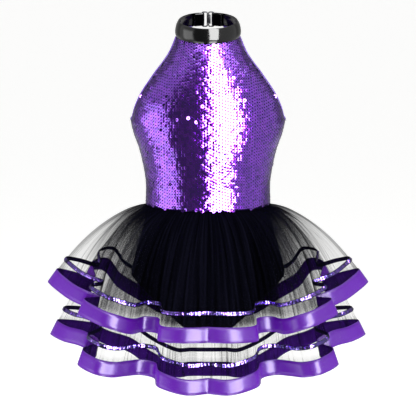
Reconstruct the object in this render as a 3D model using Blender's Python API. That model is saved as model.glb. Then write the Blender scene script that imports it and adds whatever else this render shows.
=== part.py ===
# Skirted halter leotard, worn with no wearer. The front faces -Y and +Z is up.
# The origin is the middle of the neck, inside the collar. Sizes are in millimetres.

import math
from collections import namedtuple

import bmesh
import bpy
import numpy as np

MM = 0.001
GAP = 0.3  # between two pieces, at a seam or in layers

SEQUIN_CLOTH = 1.8
STRETCH_CLOTH = 1.2
PATENT_CLOTH = 1.6
TULLE = 1.0
RIBBON = 1.0
TRIM = 1.2

# Collar: a soft band on an oval neck, tilted so that its back stands higher
NECK_HALF_WIDTH = 48.5
NECK_HALF_DEPTH = 45.0
COLLAR_HEIGHT = 25.0
COLLAR_BULGE = 4.0
COLLAR_TILT = math.radians(16.5)
COLLAR_DROP = -2.0
COLLAR_SIDE_STEPS = 11
COLLAR_ROWS = 4

# Clasp: two frames side by side, held together by a hook. The collar's ends loop round their outer bars.
FRAME_WIDTH = 10.0
FRAME_HEIGHT = 26.0
FRAME_BAR = 2.0
FRAME_ROUND = 3.0
FRAME_FACE = NECK_HALF_DEPTH - 1.6
HOOK_HEIGHT = 14.0
HOOK_PLATE = 1.2
HOOK_CLEAR = 0.4
LOOP_RADIUS = 2.6
LOOP_HEIGHT = 21.0
LOOP_TAIL = 12.0

BINDING_WIDTH = 4.5
BINDING_CLOTH = 2.4
BINDING_START = 2.8  # how far below the collar its ends begin, so that its slanted corner clears the band

# Waist seam
WAIST_HALF_WIDTH = 99.0
WAIST_SIDE = -281.5
WAIST_FRONT = -290.0
WAIST_BACK = -287.0
WAIST_FRONT_DEPTH = 78.0
WAIST_BACK_DEPTH = 70.0

# A row runs over a panel as a piece of an ellipse: from its middle to its edge, where the ellipse has
# turned through reach quarter turns. inner is where the panel starts, beside the keyhole.
Row = namedtuple("Row", "edge_x edge_y edge_z mid_y mid_z reach inner")

FRONT_PANEL = (
    Row(57.0, -10.0, -35.0, -50.0, -40.0, 0.86, 0),
    Row(69.5, -18.0, -55.0, -60.0, -58.0, 0.80, 0),
    Row(81.0, -23.0, -70.0, -68.0, -74.0, 0.80, 0),
    Row(91.5, -26.0, -85.0, -75.0, -90.0, 0.82, 0),
    Row(101.0, -27.0, -99.0, -81.0, -106.0, 0.84, 0),
    Row(109.0, -26.0, -113.0, -85.0, -121.0, 0.87, 0),
    Row(115.5, -22.0, -128.0, -88.0, -136.0, 0.91, 0),
    Row(119.5, -14.0, -141.0, -89.0, -150.0, 0.96, 0),
    Row(121.8, -5.0, -148.0, -89.0, -160.0, 1.0, 0),
    Row(122.4, 0.0, -149.5, -89.0, -168.0, 1.0, 0),
    Row(118.0, 0.0, -168.0, -88.0, -186.0, 1.0, 0),
    Row(109.5, 0.0, -192.0, -85.5, -208.0, 1.0, 0),
    Row(103.0, 0.0, -219.0, -82.0, -233.0, 1.0, 0),
    Row(98.6, 0.0, -248.0, -79.0, -259.0, 1.0, 0),
)

BACK_PANEL = (
    Row(60.0, 11.0, -38.0, 58.0, -22.0, 0.90, 30.0),
    Row(71.5, 18.0, -57.0, 66.0, -45.0, 0.86, 38.0),
    Row(82.0, 23.0, -72.0, 73.0, -66.0, 0.85, 45.0),
    Row(91.5, 26.0, -86.0, 78.0, -86.0, 0.85, 50.0),
    Row(101.0, 27.0, -100.0, 81.0, -106.0, 0.86, 53.0),
    Row(109.0, 26.0, -114.0, 83.0, -126.0, 0.88, 53.5),
    Row(115.5, 22.0, -128.5, 83.5, -146.0, 0.92, 51.0),
    Row(119.5, 14.0, -141.0, 83.0, -163.0, 0.96, 45.0),
    Row(121.8, 5.0, -148.0, 82.0, -177.0, 1.0, 36.0),
    Row(122.4, 0.0, -149.5, 81.0, -187.0, 1.0, 25.0),
    Row(120.0, 0.0, -160.0, 80.0, -193.5, 1.0, 12.0),
    Row(117.0, 0.0, -171.0, 79.0, -196.5, 1.0, 0.0),
    Row(110.0, 0.0, -190.0, 77.0, -211.0, 1.0, 0.0),
    Row(103.0, 0.0, -219.0, 74.0, -234.0, 1.0, 0.0),
    Row(98.6, 0.0, -248.0, 71.0, -258.0, 1.0, 0.0),
)
KEYHOLE_AT_COLLAR = 25.0
FRONT_ACROSS = 16
BACK_HALF_ACROSS = 9
BRIEF_ACROSS = 12
HALTER_REACH = 0.93  # how far round the neck the halter's top edges go
COLLAR_SEAM = 1.5  # from the collar's lower edge down to the middle of the cloth under it

BRIEF_FRONT = (
    Row(97.0, 0.0, -282.2, -76.0, -290.7, 1.0, 0),
    Row(101.0, 0.0, -312.0, -79.0, -319.0, 1.0, 0),
    Row(111.0, 0.0, -347.0, -84.0, -352.0, 1.0, 0),
    Row(119.5, 0.0, -378.0, -88.0, -383.0, 1.0, 0),
    Row(122.0, 0.0, -394.0, -89.0, -402.0, 1.0, 0),
    Row(118.0, -12.0, -400.0, -88.0, -414.0, 0.97, 0),
    Row(109.0, -28.0, -409.0, -86.0, -427.0, 0.94, 0),
    Row(95.0, -42.0, -422.0, -82.0, -441.0, 0.92, 0),
    Row(79.0, -51.0, -437.0, -75.0, -454.0, 0.92, 0),
    Row(63.0, -51.0, -453.0, -64.0, -467.0, 0.94, 0),
    Row(48.0, -40.0, -468.0, -48.0, -478.0, 0.97, 0),
    Row(38.0, -22.0, -479.0, -26.0, -486.0, 1.0, 0),
    Row(34.0, 2.0, -484.0, 2.0, -490.0, 1.0, 0),
)

BRIEF_BACK = (
    Row(97.0, 0.0, -282.2, 68.0, -287.7, 1.0, 0),
    Row(101.0, 0.0, -312.0, 73.0, -316.0, 1.0, 0),
    Row(111.0, 0.0, -347.0, 83.0, -350.0, 1.0, 0),
    Row(119.5, 0.0, -378.0, 91.0, -383.0, 1.0, 0),
    Row(122.0, 0.0, -394.0, 93.0, -405.0, 1.0, 0),
    Row(120.0, 15.0, -400.0, 93.0, -420.0, 0.97, 0),
    Row(114.0, 33.0, -409.0, 90.0, -436.0, 0.94, 0),
    Row(103.0, 48.0, -421.0, 85.0, -451.0, 0.92, 0),
    Row(87.0, 58.0, -437.0, 76.0, -465.0, 0.92, 0),
    Row(68.0, 57.0, -455.0, 61.0, -477.0, 0.94, 0),
    Row(50.0, 44.0, -470.0, 42.0, -485.0, 0.97, 0),
    Row(38.0, 24.0, -480.0, 22.0, -489.0, 1.0, 0),
    Row(34.0, 2.3, -484.0, 2.3, -490.0, 1.0, 0),
)

# Half a hem, from the centre front round the left side to the centre back. Out is a flute, in is a recess.
Hem = namedtuple("Hem", "fold x y z")

UPPER_HEM = (
    Hem("centre front", 0, -186, -485),
    Hem("centre flute out", 44, -181, -485),
    Hem("centre flute side", 76, -160, -484),
    Hem("recess in", 78, -124, -477),
    Hem("recess out", 103, -114, -475),
    Hem("front flute start", 122, -136, -476),
    Hem("front flute out", 146, -153, -468),
    Hem("front flute turn", 173, -148, -459),
    Hem("front flute end", 203, -114, -446),
    Hem("front valley in", 174, -84, -447),
    Hem("side flute start", 203, -72, -437),
    Hem("side flute turn", 227, -50, -427),
    Hem("side", 256, 0, -409),
    Hem("side flute end", 232, 44, -418),
    Hem("side valley in", 189, 60, -432),
    Hem("back flute start", 199, 100, -408),
    Hem("back flute out", 173, 140, -406),
    Hem("back flute end", 150, 148, -434),
    Hem("back valley in", 112, 122, -454),
    Hem("rear flute side", 78, 148, -478),
    Hem("rear flute out", 42, 170, -488),
    Hem("centre back", 0, 176, -490),
)

LOWER_HEM = (
    Hem("centre front", 0, -186, -565),
    Hem("centre flute out", 36, -184, -566),
    Hem("centre flute side", 76, -164, -556),
    Hem("recess in", 84, -126, -547),
    Hem("recess out", 108, -117, -543),
    Hem("front flute start", 131, -130, -543),
    Hem("front flute out", 153, -144, -543),
    Hem("front flute turn", 180, -146, -537),
    Hem("front flute end", 204, -112, -526),
    Hem("front valley in", 176, -84, -518),
    Hem("side flute start", 201, -70, -504),
    Hem("side flute turn", 231, -44, -499),
    Hem("side", 252, 0, -493),
    Hem("side flute end", 227, 45, -499),
    Hem("side valley in", 186, 62, -507),
    Hem("back flute start", 199, 100, -507),
    Hem("back flute out", 170, 138, -528),
    Hem("back flute end", 132, 142, -541),
    Hem("back valley in", 98, 112, -560),
    Hem("rear flute side", 56, 122, -580),
    Hem("rear flute out", 30, 152, -583),
    Hem("centre back", 0, 160, -584),
)
SIDE_FOLD = 12  # the row of each hem table that lies at the side

# Skirt tiers. The gathers die out from the waist to the hem.
# A tier's seat and drop say how far inside and below the bodice's edge its gathered top is.
# Each column curves from there to its hem: it first aims flare_out of the way out, flare_down of it down.
Tier = namedtuple("Tier", "name hem front_steps back_steps seat drop flare_out flare_down "
                          "gathers gather_height upper_rows")
UPPER = Tier("upper", UPPER_HEM, 28, 20, -0.1, 0.9, 0.6, 0.16, 24, 2.4, (0.0, 0.07, 0.17, 0.34, 0.55, 0.78))
LOWER = Tier("lower", LOWER_HEM, 24, 18, -0.6, 2.8, 0.52, 0.2, 0, 0.0, (0.0, 0.12, 0.32, 0.58, 0.8))
RIBBON_WIDTH = 25.0
TRIM_ABOVE = 43.0  # from the hem to the lower edge of the sequin trim
TRIM_WIDTH = 7.0
FOLD_START = 0.35  # how much of a flute is there at that aim
FOLD_WINDOW = 0.05
GATHER_FADE = (0.0, 0.55, 1.0, 0.8, 0.5, 0.25)  # the gathers' height at each of the upper tier's upper rows
COLUMN_STEPS = 40
HEM_STEPS = 12

COLOURS = {
    "patent": ((0.006, 0.006, 0.007), 0.16, 0.0),
    "steel": ((0.55, 0.55, 0.56), 0.32, 1.0),
    "sequins": ((0.13, 0.03, 0.42), 0.25, 0.5),
    "binding": ((0.21, 0.09, 0.55), 0.55, 0.0),
    "stretch": ((0.17, 0.06, 0.48), 0.5, 0.0),
    "black jersey": ((0.006, 0.006, 0.007), 0.7, 0.0),
    "black tulle": ((0.012, 0.012, 0.013), 0.8, 0.0),
    "satin": ((0.16, 0.04, 0.47), 0.3, 0.0),
    "trim": ((0.1, 0.02, 0.34), 0.3, 0.4),
}


def clear_scene():
    for item in list(bpy.data.objects):
        bpy.data.objects.remove(item, do_unlink=True)


def material(name):
    colour, roughness, metallic = COLOURS[name]
    found = bpy.data.materials.get(name) or bpy.data.materials.new(name)
    found.use_nodes = True
    shader = found.node_tree.nodes["Principled BSDF"]
    shader.inputs["Base Color"].default_value = (*colour, 1.0)
    shader.inputs["Roughness"].default_value = roughness
    shader.inputs["Metallic"].default_value = metallic
    return found


def piece(name, points, faces, finish):
    """One closed body from points in millimetres."""
    mesh = bpy.data.meshes.new(name)
    mesh.from_pydata([tuple(point) for point in np.asarray(points) * MM], [], faces)
    mesh.materials.append(material(finish))
    made = bpy.data.objects.new(name, mesh)
    bpy.context.scene.collection.objects.link(made)
    mesh.shade_smooth()
    mesh.set_sharp_from_angle(angle=math.radians(40))
    return made


def unit(vectors):
    return vectors / np.maximum(np.linalg.norm(vectors, axis=-1, keepdims=True), 1e-9)


def smooth_through(knots):
    """Points along a smooth closed curve through the knots, with the same number of steps between each two."""
    padded = np.vstack([knots[-1], knots, knots[:2]])
    found = []
    for i in range(len(knots)):
        before, start, end, after = padded[i : i + 4]
        for step in range(HEM_STEPS):
            t = step / HEM_STEPS
            found.append(
                0.5 * (2 * start + (end - before) * t
                       + (2 * before - 5 * start + 4 * end - after) * t ** 2
                       + (3 * start - before - 3 * end + after) * t ** 3)
            )
    return np.array(found)


def evenly(points, count):
    """The same line, cut into count equal steps."""
    steps = np.linalg.norm(np.diff(points, axis=0), axis=1)
    run = np.concatenate([[0], np.cumsum(steps)])
    return np.stack([np.interp(np.linspace(0, run[-1], count + 1), run, axis) for axis in points.T], axis=1)


def grid_faces(rows, columns, closed=False):
    """Quads over a grid numbered row by row. Rows go down and columns anticlockwise from above."""
    faces = []
    for row in range(rows - 1):
        for column in range(columns if closed else columns - 1):
            right = (column + 1) % columns
            faces.append((row * columns + column, (row + 1) * columns + column,
                          (row + 1) * columns + right, row * columns + right))
    return faces


def normals_of(points, faces):
    normals = np.zeros_like(points)
    for face in faces:
        a, b, c, d = points[list(face)]
        normals[list(face)] += np.cross(c - a, d - b)
    return unit(normals)


def wall(name, points, faces, normals, low, high, finish):
    """A closed wall between two distances from a surface, measured along its normals."""
    count = len(points)
    edges = {}
    for face in faces:
        for a, b in zip(face, face[1:] + face[:1]):
            edges[(a, b)] = True
    rim = [(a, b) for a, b in edges if (b, a) not in edges]
    outer = list(faces)
    inner = [tuple(count + face[i] for i in (0, 3, 2, 1)) for face in faces]
    sides = [(b, a, count + a, count + b) for a, b in rim]
    both = np.concatenate([points + normals * high, points + normals * low])
    used = sorted({i for face in outer + inner for i in face})
    place = {old: new for new, old in enumerate(used)}
    renumbered = [tuple(place[i] for i in face) for face in outer + inner + sides]
    return piece(name, both[used], renumbered, finish)


def grid_wall(name, grid, normals, low, high, finish, closed=False):
    rows, columns = grid.shape[:2]
    faces = grid_faces(rows, columns, closed)
    return wall(name, grid.reshape(-1, 3), faces, normals.reshape(-1, 3), low, high, finish)


def grid_normals(grid, closed=False):
    rows, columns = grid.shape[:2]
    return normals_of(grid.reshape(-1, 3), grid_faces(rows, columns, closed)).reshape(grid.shape)


def tilted(points):
    """From the collar's own level frame to its place on the neck."""
    x, y, z = np.moveaxis(np.asarray(points, float), -1, 0)
    cos, sin = math.cos(COLLAR_TILT), math.sin(COLLAR_TILT)
    return np.stack([x, y * cos - z * sin, y * sin + z * cos + COLLAR_DROP], axis=-1)


def eased(value, start, end):
    t = min(max((value - start) / (end - start), 0.0), 1.0)
    return t * t * (3 - 2 * t)


def collar_path():
    """Plan of the band: (x, y, bulge, height), from the tail at one clasp bar round the front to the other."""
    bar = FRAME_WIDTH + GAP / 2 - FRAME_BAR / 2
    bar_depth = FRAME_FACE + FRAME_BAR / 2

    def band(x):
        return NECK_HALF_DEPTH * math.sqrt(1 - (x / NECK_HALF_WIDTH) ** 2)

    half = []
    for step in range(3):
        x = bar + LOOP_TAIL * (1 - step / 3)
        half.append((x, bar_depth - LOOP_RADIUS + (band(x) - band(bar)) * 0.9, 0.0, LOOP_HEIGHT))
    for step in range(5):
        turn = -math.pi / 2 - math.pi * step / 4
        x, y = bar + LOOP_RADIUS * math.cos(turn), bar_depth + LOOP_RADIUS * math.sin(turn)
        half.append((x, y, 0.0, LOOP_HEIGHT))
    first = math.asin((bar + 4) / NECK_HALF_WIDTH)
    lift = bar_depth + LOOP_RADIUS - band(bar)
    for step in range(COLLAR_SIDE_STEPS * 2):
        turn = first + (math.pi - first) * step / (COLLAR_SIDE_STEPS * 2)
        x, y = NECK_HALF_WIDTH * math.sin(turn), NECK_HALF_DEPTH * math.cos(turn)
        fade = eased(turn, first, math.radians(42))
        height = LOOP_HEIGHT + (COLLAR_HEIGHT - LOOP_HEIGHT) * fade
        half.append((x, y + lift * (1 - fade), fade, height))
    front = [(0.0, -NECK_HALF_DEPTH, 1.0, COLLAR_HEIGHT)]
    mirrored = [(-x, y, bulge, height) for x, y, bulge, height in half]
    return mirrored + front + half[::-1]


def make_collar():
    path = collar_path()
    plan = np.array([row[:2] for row in path])
    ahead = np.gradient(plan, axis=0)
    outward = unit(np.stack([ahead[:, 1], -ahead[:, 0]], axis=1))
    levels = np.linspace(0.5, -0.5, COLLAR_ROWS + 1)
    grid = np.zeros((len(levels), len(path), 3))
    for i, level in enumerate(levels):
        for j, (x, y, bulge, height) in enumerate(path):
            out = COLLAR_BULGE * bulge * (1 - (2 * level) ** 2)
            grid[i, j] = (x + outward[j, 0] * out, y + outward[j, 1] * out, level * height)
    grid = tilted(grid)
    grid_wall("collar_band", grid, grid_normals(grid), -PATENT_CLOTH / 2, PATENT_CLOTH / 2, "patent")


def rounded_outline(width, height, radius, centre_x):
    points = []
    for turn in range(4):
        corner_x = (width / 2 - radius) * (1 if turn in (0, 3) else -1)
        corner_z = (height / 2 - radius) * (1 if turn in (0, 1) else -1)
        for step in range(4):
            angle = math.pi / 2 * (turn + step / 3)
            points.append((centre_x + corner_x + radius * math.cos(angle), corner_z + radius * math.sin(angle)))
    return points


def frame_mesh(side):
    """A flat rounded ring: outer and inner outline, each at the front and at the back of the wire."""
    centre = side * (FRAME_WIDTH + GAP) / 2
    outer = rounded_outline(FRAME_WIDTH, FRAME_HEIGHT, FRAME_ROUND, centre)
    inner = rounded_outline(FRAME_WIDTH - 2 * FRAME_BAR, FRAME_HEIGHT - 2 * FRAME_BAR, 1.0, centre)
    near, far = FRAME_FACE, FRAME_FACE + FRAME_BAR
    points = []
    for outline, depth in ((outer, near), (inner, near), (inner, far), (outer, far)):
        points += [(x, depth, z) for x, z in outline]
    count = len(outer)
    faces = []
    for loop in range(4):
        for i in range(count):
            j = (i + 1) % count
            after = (loop + 1) % 4
            faces.append((loop * count + i, loop * count + j, after * count + j, after * count + i))
    return tilted(points), faces


def hook_mesh():
    """The tongue in plan: from its own frame over the other frame's bar, and back behind it."""
    inner, outer = FRAME_FACE - HOOK_CLEAR, FRAME_FACE + FRAME_BAR + HOOK_CLEAR
    middle = FRAME_FACE + FRAME_BAR / 2
    root, root_end = -FRAME_BAR, -FRAME_BAR / 3
    tip = FRAME_BAR + 2 * HOOK_PLATE
    plan = ((root, middle), (root_end, middle), (root_end, outer), (tip - HOOK_PLATE, outer),
            (tip - HOOK_PLATE, inner), (HOOK_CLEAR, inner), (HOOK_CLEAR, inner - HOOK_PLATE),
            (tip, inner - HOOK_PLATE), (tip, outer + HOOK_PLATE), (root, outer + HOOK_PLATE))
    points = [(x, y, z) for z in (-HOOK_HEIGHT / 2, HOOK_HEIGHT / 2) for x, y in plan]
    count = len(plan)
    faces = [tuple(range(count - 1, -1, -1)), tuple(range(count, 2 * count))]
    for i in range(count):
        j = (i + 1) % count
        faces.append((i, j, count + j, count + i))
    return tilted(points), faces


def make_clasp():
    for name, side in (("clasp_loop", 1), ("clasp_hook", -1)):
        points, faces = frame_mesh(side)
        made = piece(name, points, faces, "steel")
        outward(made)
        if side < 0:
            points, faces = hook_mesh()
            hook = piece("hook_tongue", points, faces, "steel")
            outward(hook)
            hook.hide_render = True
            hook.display_type = "WIRE"
            join = made.modifiers.new("tongue", "BOOLEAN")
            join.operation = "UNION"
            join.object = hook


def outward(made):
    work = bmesh.new()
    work.from_mesh(made.data)
    bmesh.ops.recalc_face_normals(work, faces=work.faces)
    work.to_mesh(made.data)
    work.free()


def panel_grid(rows, across, side, half=False):
    """Points over a panel: side is -1 for a front panel and 1 for a back one."""
    grid = []
    for row in rows:
        edge_x, edge_y, edge_z, mid_y, mid_z, reach, inner = row
        full = reach * math.pi / 2
        start = math.asin(min(inner / edge_x, 1.0) * math.sin(full)) if half else -full
        line = []
        for step in range(across + 1):
            turn = start + (full - start) * step / across
            bend = (math.cos(turn) - math.cos(full)) / (1 - math.cos(full))
            line.append((edge_x * math.sin(turn) / math.sin(full), edge_y + (mid_y - edge_y) * bend,
                         edge_z + (mid_z - edge_z) * bend))
        grid.append(line if side < 0 else line[::-1])
    return np.array(grid)


def collar_row(side, inner):
    """The panel's top row, just under the collar's lower edge."""
    level = -COLLAR_HEIGHT / 2 - COLLAR_SEAM
    full = HALTER_REACH * math.pi / 2
    edge = tilted((NECK_HALF_WIDTH * math.sin(full), side * NECK_HALF_DEPTH * math.cos(full), level))
    middle = tilted((0, side * NECK_HALF_DEPTH, level))
    return Row(edge[0], edge[1], edge[2], middle[1], middle[2], HALTER_REACH, inner)


def waist_row(side):
    front = side < 0
    return Row(WAIST_HALF_WIDTH, 0.0, WAIST_SIDE, -WAIST_FRONT_DEPTH if front else WAIST_BACK_DEPTH,
               WAIST_FRONT if front else WAIST_BACK, 1.0, 0)


def pulled_in(grid, ends, amount):
    """The grid with its outermost columns moved in along its rows, to leave a seam's gap."""
    grid = grid.copy()
    for end, beside in ends:
        step = unit(grid[:, beside] - grid[:, end])
        grid[:, end] = grid[:, end] + step * amount
    return grid


def mirror_x(points):
    return points * np.array([-1.0, 1.0, 1.0])


def make_front():
    rows = (collar_row(-1, 0),) + FRONT_PANEL + (waist_row(-1),)
    grid = panel_grid(rows, FRONT_ACROSS, -1)
    normals = grid_normals(grid)
    laid = pulled_in(grid, ((0, 1), (-1, -2)), GAP / 2)
    half = SEQUIN_CLOTH / 2
    grid_wall("bodice_front", laid, normals, -half, half, "sequins")
    return grid, normals


def make_back():
    """Half the back, from the side to the keyhole or the centre, and its mirror image joined below the hole."""
    rows = (collar_row(1, KEYHOLE_AT_COLLAR),) + BACK_PANEL + (waist_row(1),)
    across = BACK_HALF_ACROSS
    grid = panel_grid(rows, across, 1, half=True)
    laid = pulled_in(grid, ((0, 1),), GAP / 2)
    count = grid.shape[0] * grid.shape[1]
    right_faces = grid_faces(*grid.shape[:2])
    shared = {}
    closing = next(i for i, row in enumerate(rows) if row.inner == 0)
    for row in range(closing, len(rows)):
        shared[count + row * (across + 1) + across] = row * (across + 1) + across
    left_faces = [tuple(shared.get(count + i, count + i) for i in reversed(face)) for face in right_faces]
    points = np.concatenate([laid.reshape(-1, 3), mirror_x(laid.reshape(-1, 3))])
    faces = right_faces + left_faces
    normals = normals_of(points, faces)
    half = STRETCH_CLOTH / 2
    wall("bodice_back", points, faces, normals, -half, half, "stretch")
    return grid, normals[:count].reshape(grid.shape), closing


def edging(name, path, normals, finish, mirrored=False):
    """A flat strip beside a cut edge: it lies on the left of the path, seen from outside."""
    path = path.copy()
    for end, beside in ((0, 1), (-1, -2)):
        path[end] += unit(path[beside] - path[end]) * BINDING_START
    along = unit(np.gradient(path, axis=0))
    away = unit(np.cross(normals, along))
    grid = np.stack([path + away * GAP, path + away * (GAP + BINDING_WIDTH)], axis=0)
    normals = np.stack([normals, normals], axis=0)
    if mirrored:
        grid, normals = mirror_x(grid)[:, ::-1], mirror_x(normals)[:, ::-1]
    faces = [tuple(reversed(face)) for face in grid_faces(*grid.shape[:2])]
    half = BINDING_CLOTH / 2
    wall(name, grid.reshape(-1, 3), faces, normals.reshape(-1, 3), -half, half, finish)


def make_bindings(front, front_normals, back, back_normals, closing):
    under_arm = 1 + next(i for i, row in enumerate(FRONT_PANEL) if row.edge_y == 0)
    path = np.concatenate([front[: under_arm + 1, -1], back[under_arm - 1 :: -1, 0]])
    normals = np.concatenate([front_normals[: under_arm + 1, -1], back_normals[under_arm - 1 :: -1, 0]])
    for name, mirrored in (("armhole_binding_left", False), ("armhole_binding_right", True)):
        edging(name, path, normals, "binding", mirrored)
    side = back[: closing + 1, -1]
    side_normals = back_normals[: closing + 1, -1]
    path = np.concatenate([side, mirror_x(side)[-2::-1]])
    normals = np.concatenate([side_normals, mirror_x(side_normals)[-2::-1]])
    edging("keyhole_binding", path, normals, "binding")


def make_brief():
    for name, table, side in (("brief_front", BRIEF_FRONT, -1), ("brief_back", BRIEF_BACK, 1)):
        grid = panel_grid(table, BRIEF_ACROSS, side)
        normals = grid_normals(grid)
        laid = pulled_in(grid, ((0, 1), (-1, -2)), GAP / 2)
        grid_wall(name, laid, normals, -STRETCH_CLOTH / 2, STRETCH_CLOTH / 2, "black jersey")


def hem_ring(tier):
    """The hem all round, in even steps from the centre front to each side and on to the centre back."""
    knots = np.array([row[1:] for row in tier.hem], float)
    ring = np.concatenate([knots, mirror_x(knots)[-2:0:-1]])
    fine = smooth_through(ring)
    side, back = SIDE_FOLD * HEM_STEPS, (len(knots) - 1) * HEM_STEPS
    front_part = evenly(fine[: side + 1], tier.front_steps)
    back_part = evenly(fine[side : back + 1], tier.back_steps)
    half = np.concatenate([front_part, back_part[1:]])
    return np.concatenate([half, mirror_x(half)[-2:0:-1]])


def waist_ring(tier):
    """Where each hem step starts at the waist seam."""
    half = []
    for steps, depth, middle in ((tier.front_steps, WAIST_FRONT_DEPTH, WAIST_FRONT),
                                 (tier.back_steps, WAIST_BACK_DEPTH, WAIST_BACK)):
        front = steps == tier.front_steps
        for step in range(steps):
            turn = math.pi / 2 * (step / steps if front else 1 - step / steps)
            out = 1 + tier.seat / WAIST_HALF_WIDTH
            y = depth * out * math.cos(turn) * (-1 if front else 1)
            bend = math.cos(turn)
            half.append((WAIST_HALF_WIDTH * out * math.sin(turn), y,
                         WAIST_SIDE - tier.drop + (middle - WAIST_SIDE) * bend))
    half.append((0.0, WAIST_BACK_DEPTH + tier.seat, WAIST_BACK - tier.drop))
    half = np.array(half)
    return np.concatenate([half, mirror_x(half)[-2:0:-1]])


def tier_grid(tier):
    """Rows from the waist to the hem, with rows at the edges of the trim and of the ribbon."""
    hem, waist = hem_ring(tier), waist_ring(tier)
    columns = len(hem)
    window = max(2, round(columns * FOLD_WINDOW))
    soft = np.mean([np.roll(hem, shift, axis=0) for shift in range(-window, window + 1)], axis=0)
    aim = (soft * (1 - FOLD_START) + hem * FOLD_START) - waist
    aim = waist + aim * np.array([tier.flare_out, tier.flare_out, tier.flare_down])
    fine = np.linspace(0, 1, COLUMN_STEPS + 1)[:, None, None]
    lines = waist * (1 - fine) ** 2 + aim * 2 * fine * (1 - fine) + hem * fine ** 2
    marks = (TRIM_ABOVE + TRIM_WIDTH, TRIM_ABOVE, RIBBON_WIDTH, 0.0)
    grid = np.zeros((len(tier.upper_rows) + len(marks), columns, 3))
    for column in range(columns):
        line = lines[:, column]
        run = np.concatenate([[0], np.cumsum(np.linalg.norm(np.diff(line, axis=0), axis=1))])
        stops = [part * (run[-1] - marks[0]) for part in tier.upper_rows] + [run[-1] - mark for mark in marks]
        for axis in range(3):
            grid[:, column, axis] = np.interp(stops, run, line[:, axis])
    if tier.gathers:
        normals = grid_normals(grid, closed=True)
        fade = GATHER_FADE + (0.0,) * len(marks)
        wave = np.cos(2 * math.pi * tier.gathers * np.arange(columns) / columns)
        grid += normals * tier.gather_height * np.array(fade)[:, None, None] * wave[None, :, None]
    return grid


def make_tier(tier):
    grid = tier_grid(tier)
    normals = grid_normals(grid, closed=True)
    columns = grid.shape[1]
    front = [i % columns for i in range(-tier.front_steps, tier.front_steps + 1)]
    back = list(range(tier.front_steps, columns - tier.front_steps + 1))
    half = TULLE / 2
    for name, chosen in (("front", front), ("back", back)):
        laid = pulled_in(grid[:, chosen], ((0, 1), (-1, -2)), GAP / 2)
        grid_wall(f"{tier.name}_tulle_{name}", laid, normals[:, chosen], -half, half, "black tulle")
    for name, rows, cloth, finish in (("ribbon", slice(-2, None), RIBBON, "satin"),
                                      ("sequin_trim", slice(-4, -2), TRIM, "trim")):
        low = half + GAP
        grid_wall(f"{tier.name}_{name}", grid[rows], normals[rows], low, low + cloth, finish, closed=True)


def main():
    clear_scene()
    make_collar()
    make_clasp()
    front, front_normals = make_front()
    back, back_normals, closing = make_back()
    make_bindings(front, front_normals, back, back_normals, closing)
    make_brief()
    for tier in (UPPER, LOWER):
        make_tier(tier)


main()
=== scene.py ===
# Skirted halter leotard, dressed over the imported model, on a pale studio floor.
# Sizes in the dictionaries are in millimetres. A mesh gets its metres where it is made.

import math

import bmesh
import bpy
import numpy as np
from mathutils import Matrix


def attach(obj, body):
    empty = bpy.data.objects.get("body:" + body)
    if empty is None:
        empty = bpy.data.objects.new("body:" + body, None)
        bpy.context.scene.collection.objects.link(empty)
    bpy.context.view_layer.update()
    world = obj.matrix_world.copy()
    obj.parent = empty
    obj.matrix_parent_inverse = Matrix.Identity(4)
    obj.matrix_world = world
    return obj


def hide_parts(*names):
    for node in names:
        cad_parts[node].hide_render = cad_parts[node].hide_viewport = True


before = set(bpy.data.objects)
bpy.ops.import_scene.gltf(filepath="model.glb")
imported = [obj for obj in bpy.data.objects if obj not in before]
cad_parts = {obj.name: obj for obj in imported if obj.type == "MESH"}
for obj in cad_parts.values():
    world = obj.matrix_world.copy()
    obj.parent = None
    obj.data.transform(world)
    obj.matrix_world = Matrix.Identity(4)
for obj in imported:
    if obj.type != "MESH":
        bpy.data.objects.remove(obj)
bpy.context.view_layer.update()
scene = bpy.context.scene
mm = 0.001
gap = 0.3  # between two pieces, as in the model


# Nodes and colours

def toLinear(hexColour):
    parts = [int(hexColour[i:i + 2], 16) / 255 for i in (1, 3, 5)]
    return tuple(c / 12.92 if c <= 0.04045 else ((c + 0.055) / 1.055) ** 2.4 for c in parts) + (1.0,)


def addNode(tree, kind, inputs=None, **settings):
    node = tree.nodes.new(kind)
    for key, value in settings.items():
        setattr(node, key, value)
    for socket, value in (inputs or {}).items():
        if isinstance(value, bpy.types.NodeSocket):
            tree.links.new(value, node.inputs[socket])
        else:
            node.inputs[socket].default_value = value
    return node


def startMaterial(name, hexColour, **values):
    material = bpy.data.materials.new(name)
    material.use_nodes = True
    shader = material.node_tree.nodes["Principled BSDF"]
    shader.inputs["Base Color"].default_value = toLinear(hexColour)
    for socket, value in values.items():
        shader.inputs[socket.replace("_", " ")].default_value = value
    return material, material.node_tree, shader


def colourRamp(tree, factor, stops):
    ramp = addNode(tree, "ShaderNodeValToRGB", {"Fac": factor})
    marks = ramp.color_ramp.elements
    while len(marks) < len(stops):
        marks.new(0.5)
    for mark, (place, colour) in zip(marks, stops):
        mark.position = place
        mark.color = toLinear(colour)
    return ramp.outputs["Color"]


# Lines and grids

def unit(vectors):
    return vectors / np.maximum(np.linalg.norm(vectors, axis=-1, keepdims=True), 1e-9)


def mirrorX(points):
    return points * np.array([-1.0, 1.0, 1.0])


def smoothLine(knots, steps, closed=False):
    knots = np.asarray(knots, float)
    if closed:
        padded = np.vstack([knots[-1], knots, knots[:2]])
    else:
        padded = np.vstack([2 * knots[0] - knots[1], knots, 2 * knots[-1] - knots[-2]])
    t = np.arange(steps)[:, None] / steps
    parts = []
    for i in range(len(padded) - 3):
        a, b, c, d = padded[i:i + 4]
        parts.append(0.5 * (2 * b + (c - a) * t + (2 * a - 5 * b + 4 * c - d) * t ** 2
                            + (3 * b - a - 3 * c + d) * t ** 3))
    if not closed:
        parts.append(knots[-1:])
    return np.vstack(parts)


def runOf(line):
    return np.concatenate([[0], np.cumsum(np.linalg.norm(np.diff(line, axis=0), axis=1))])


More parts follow.
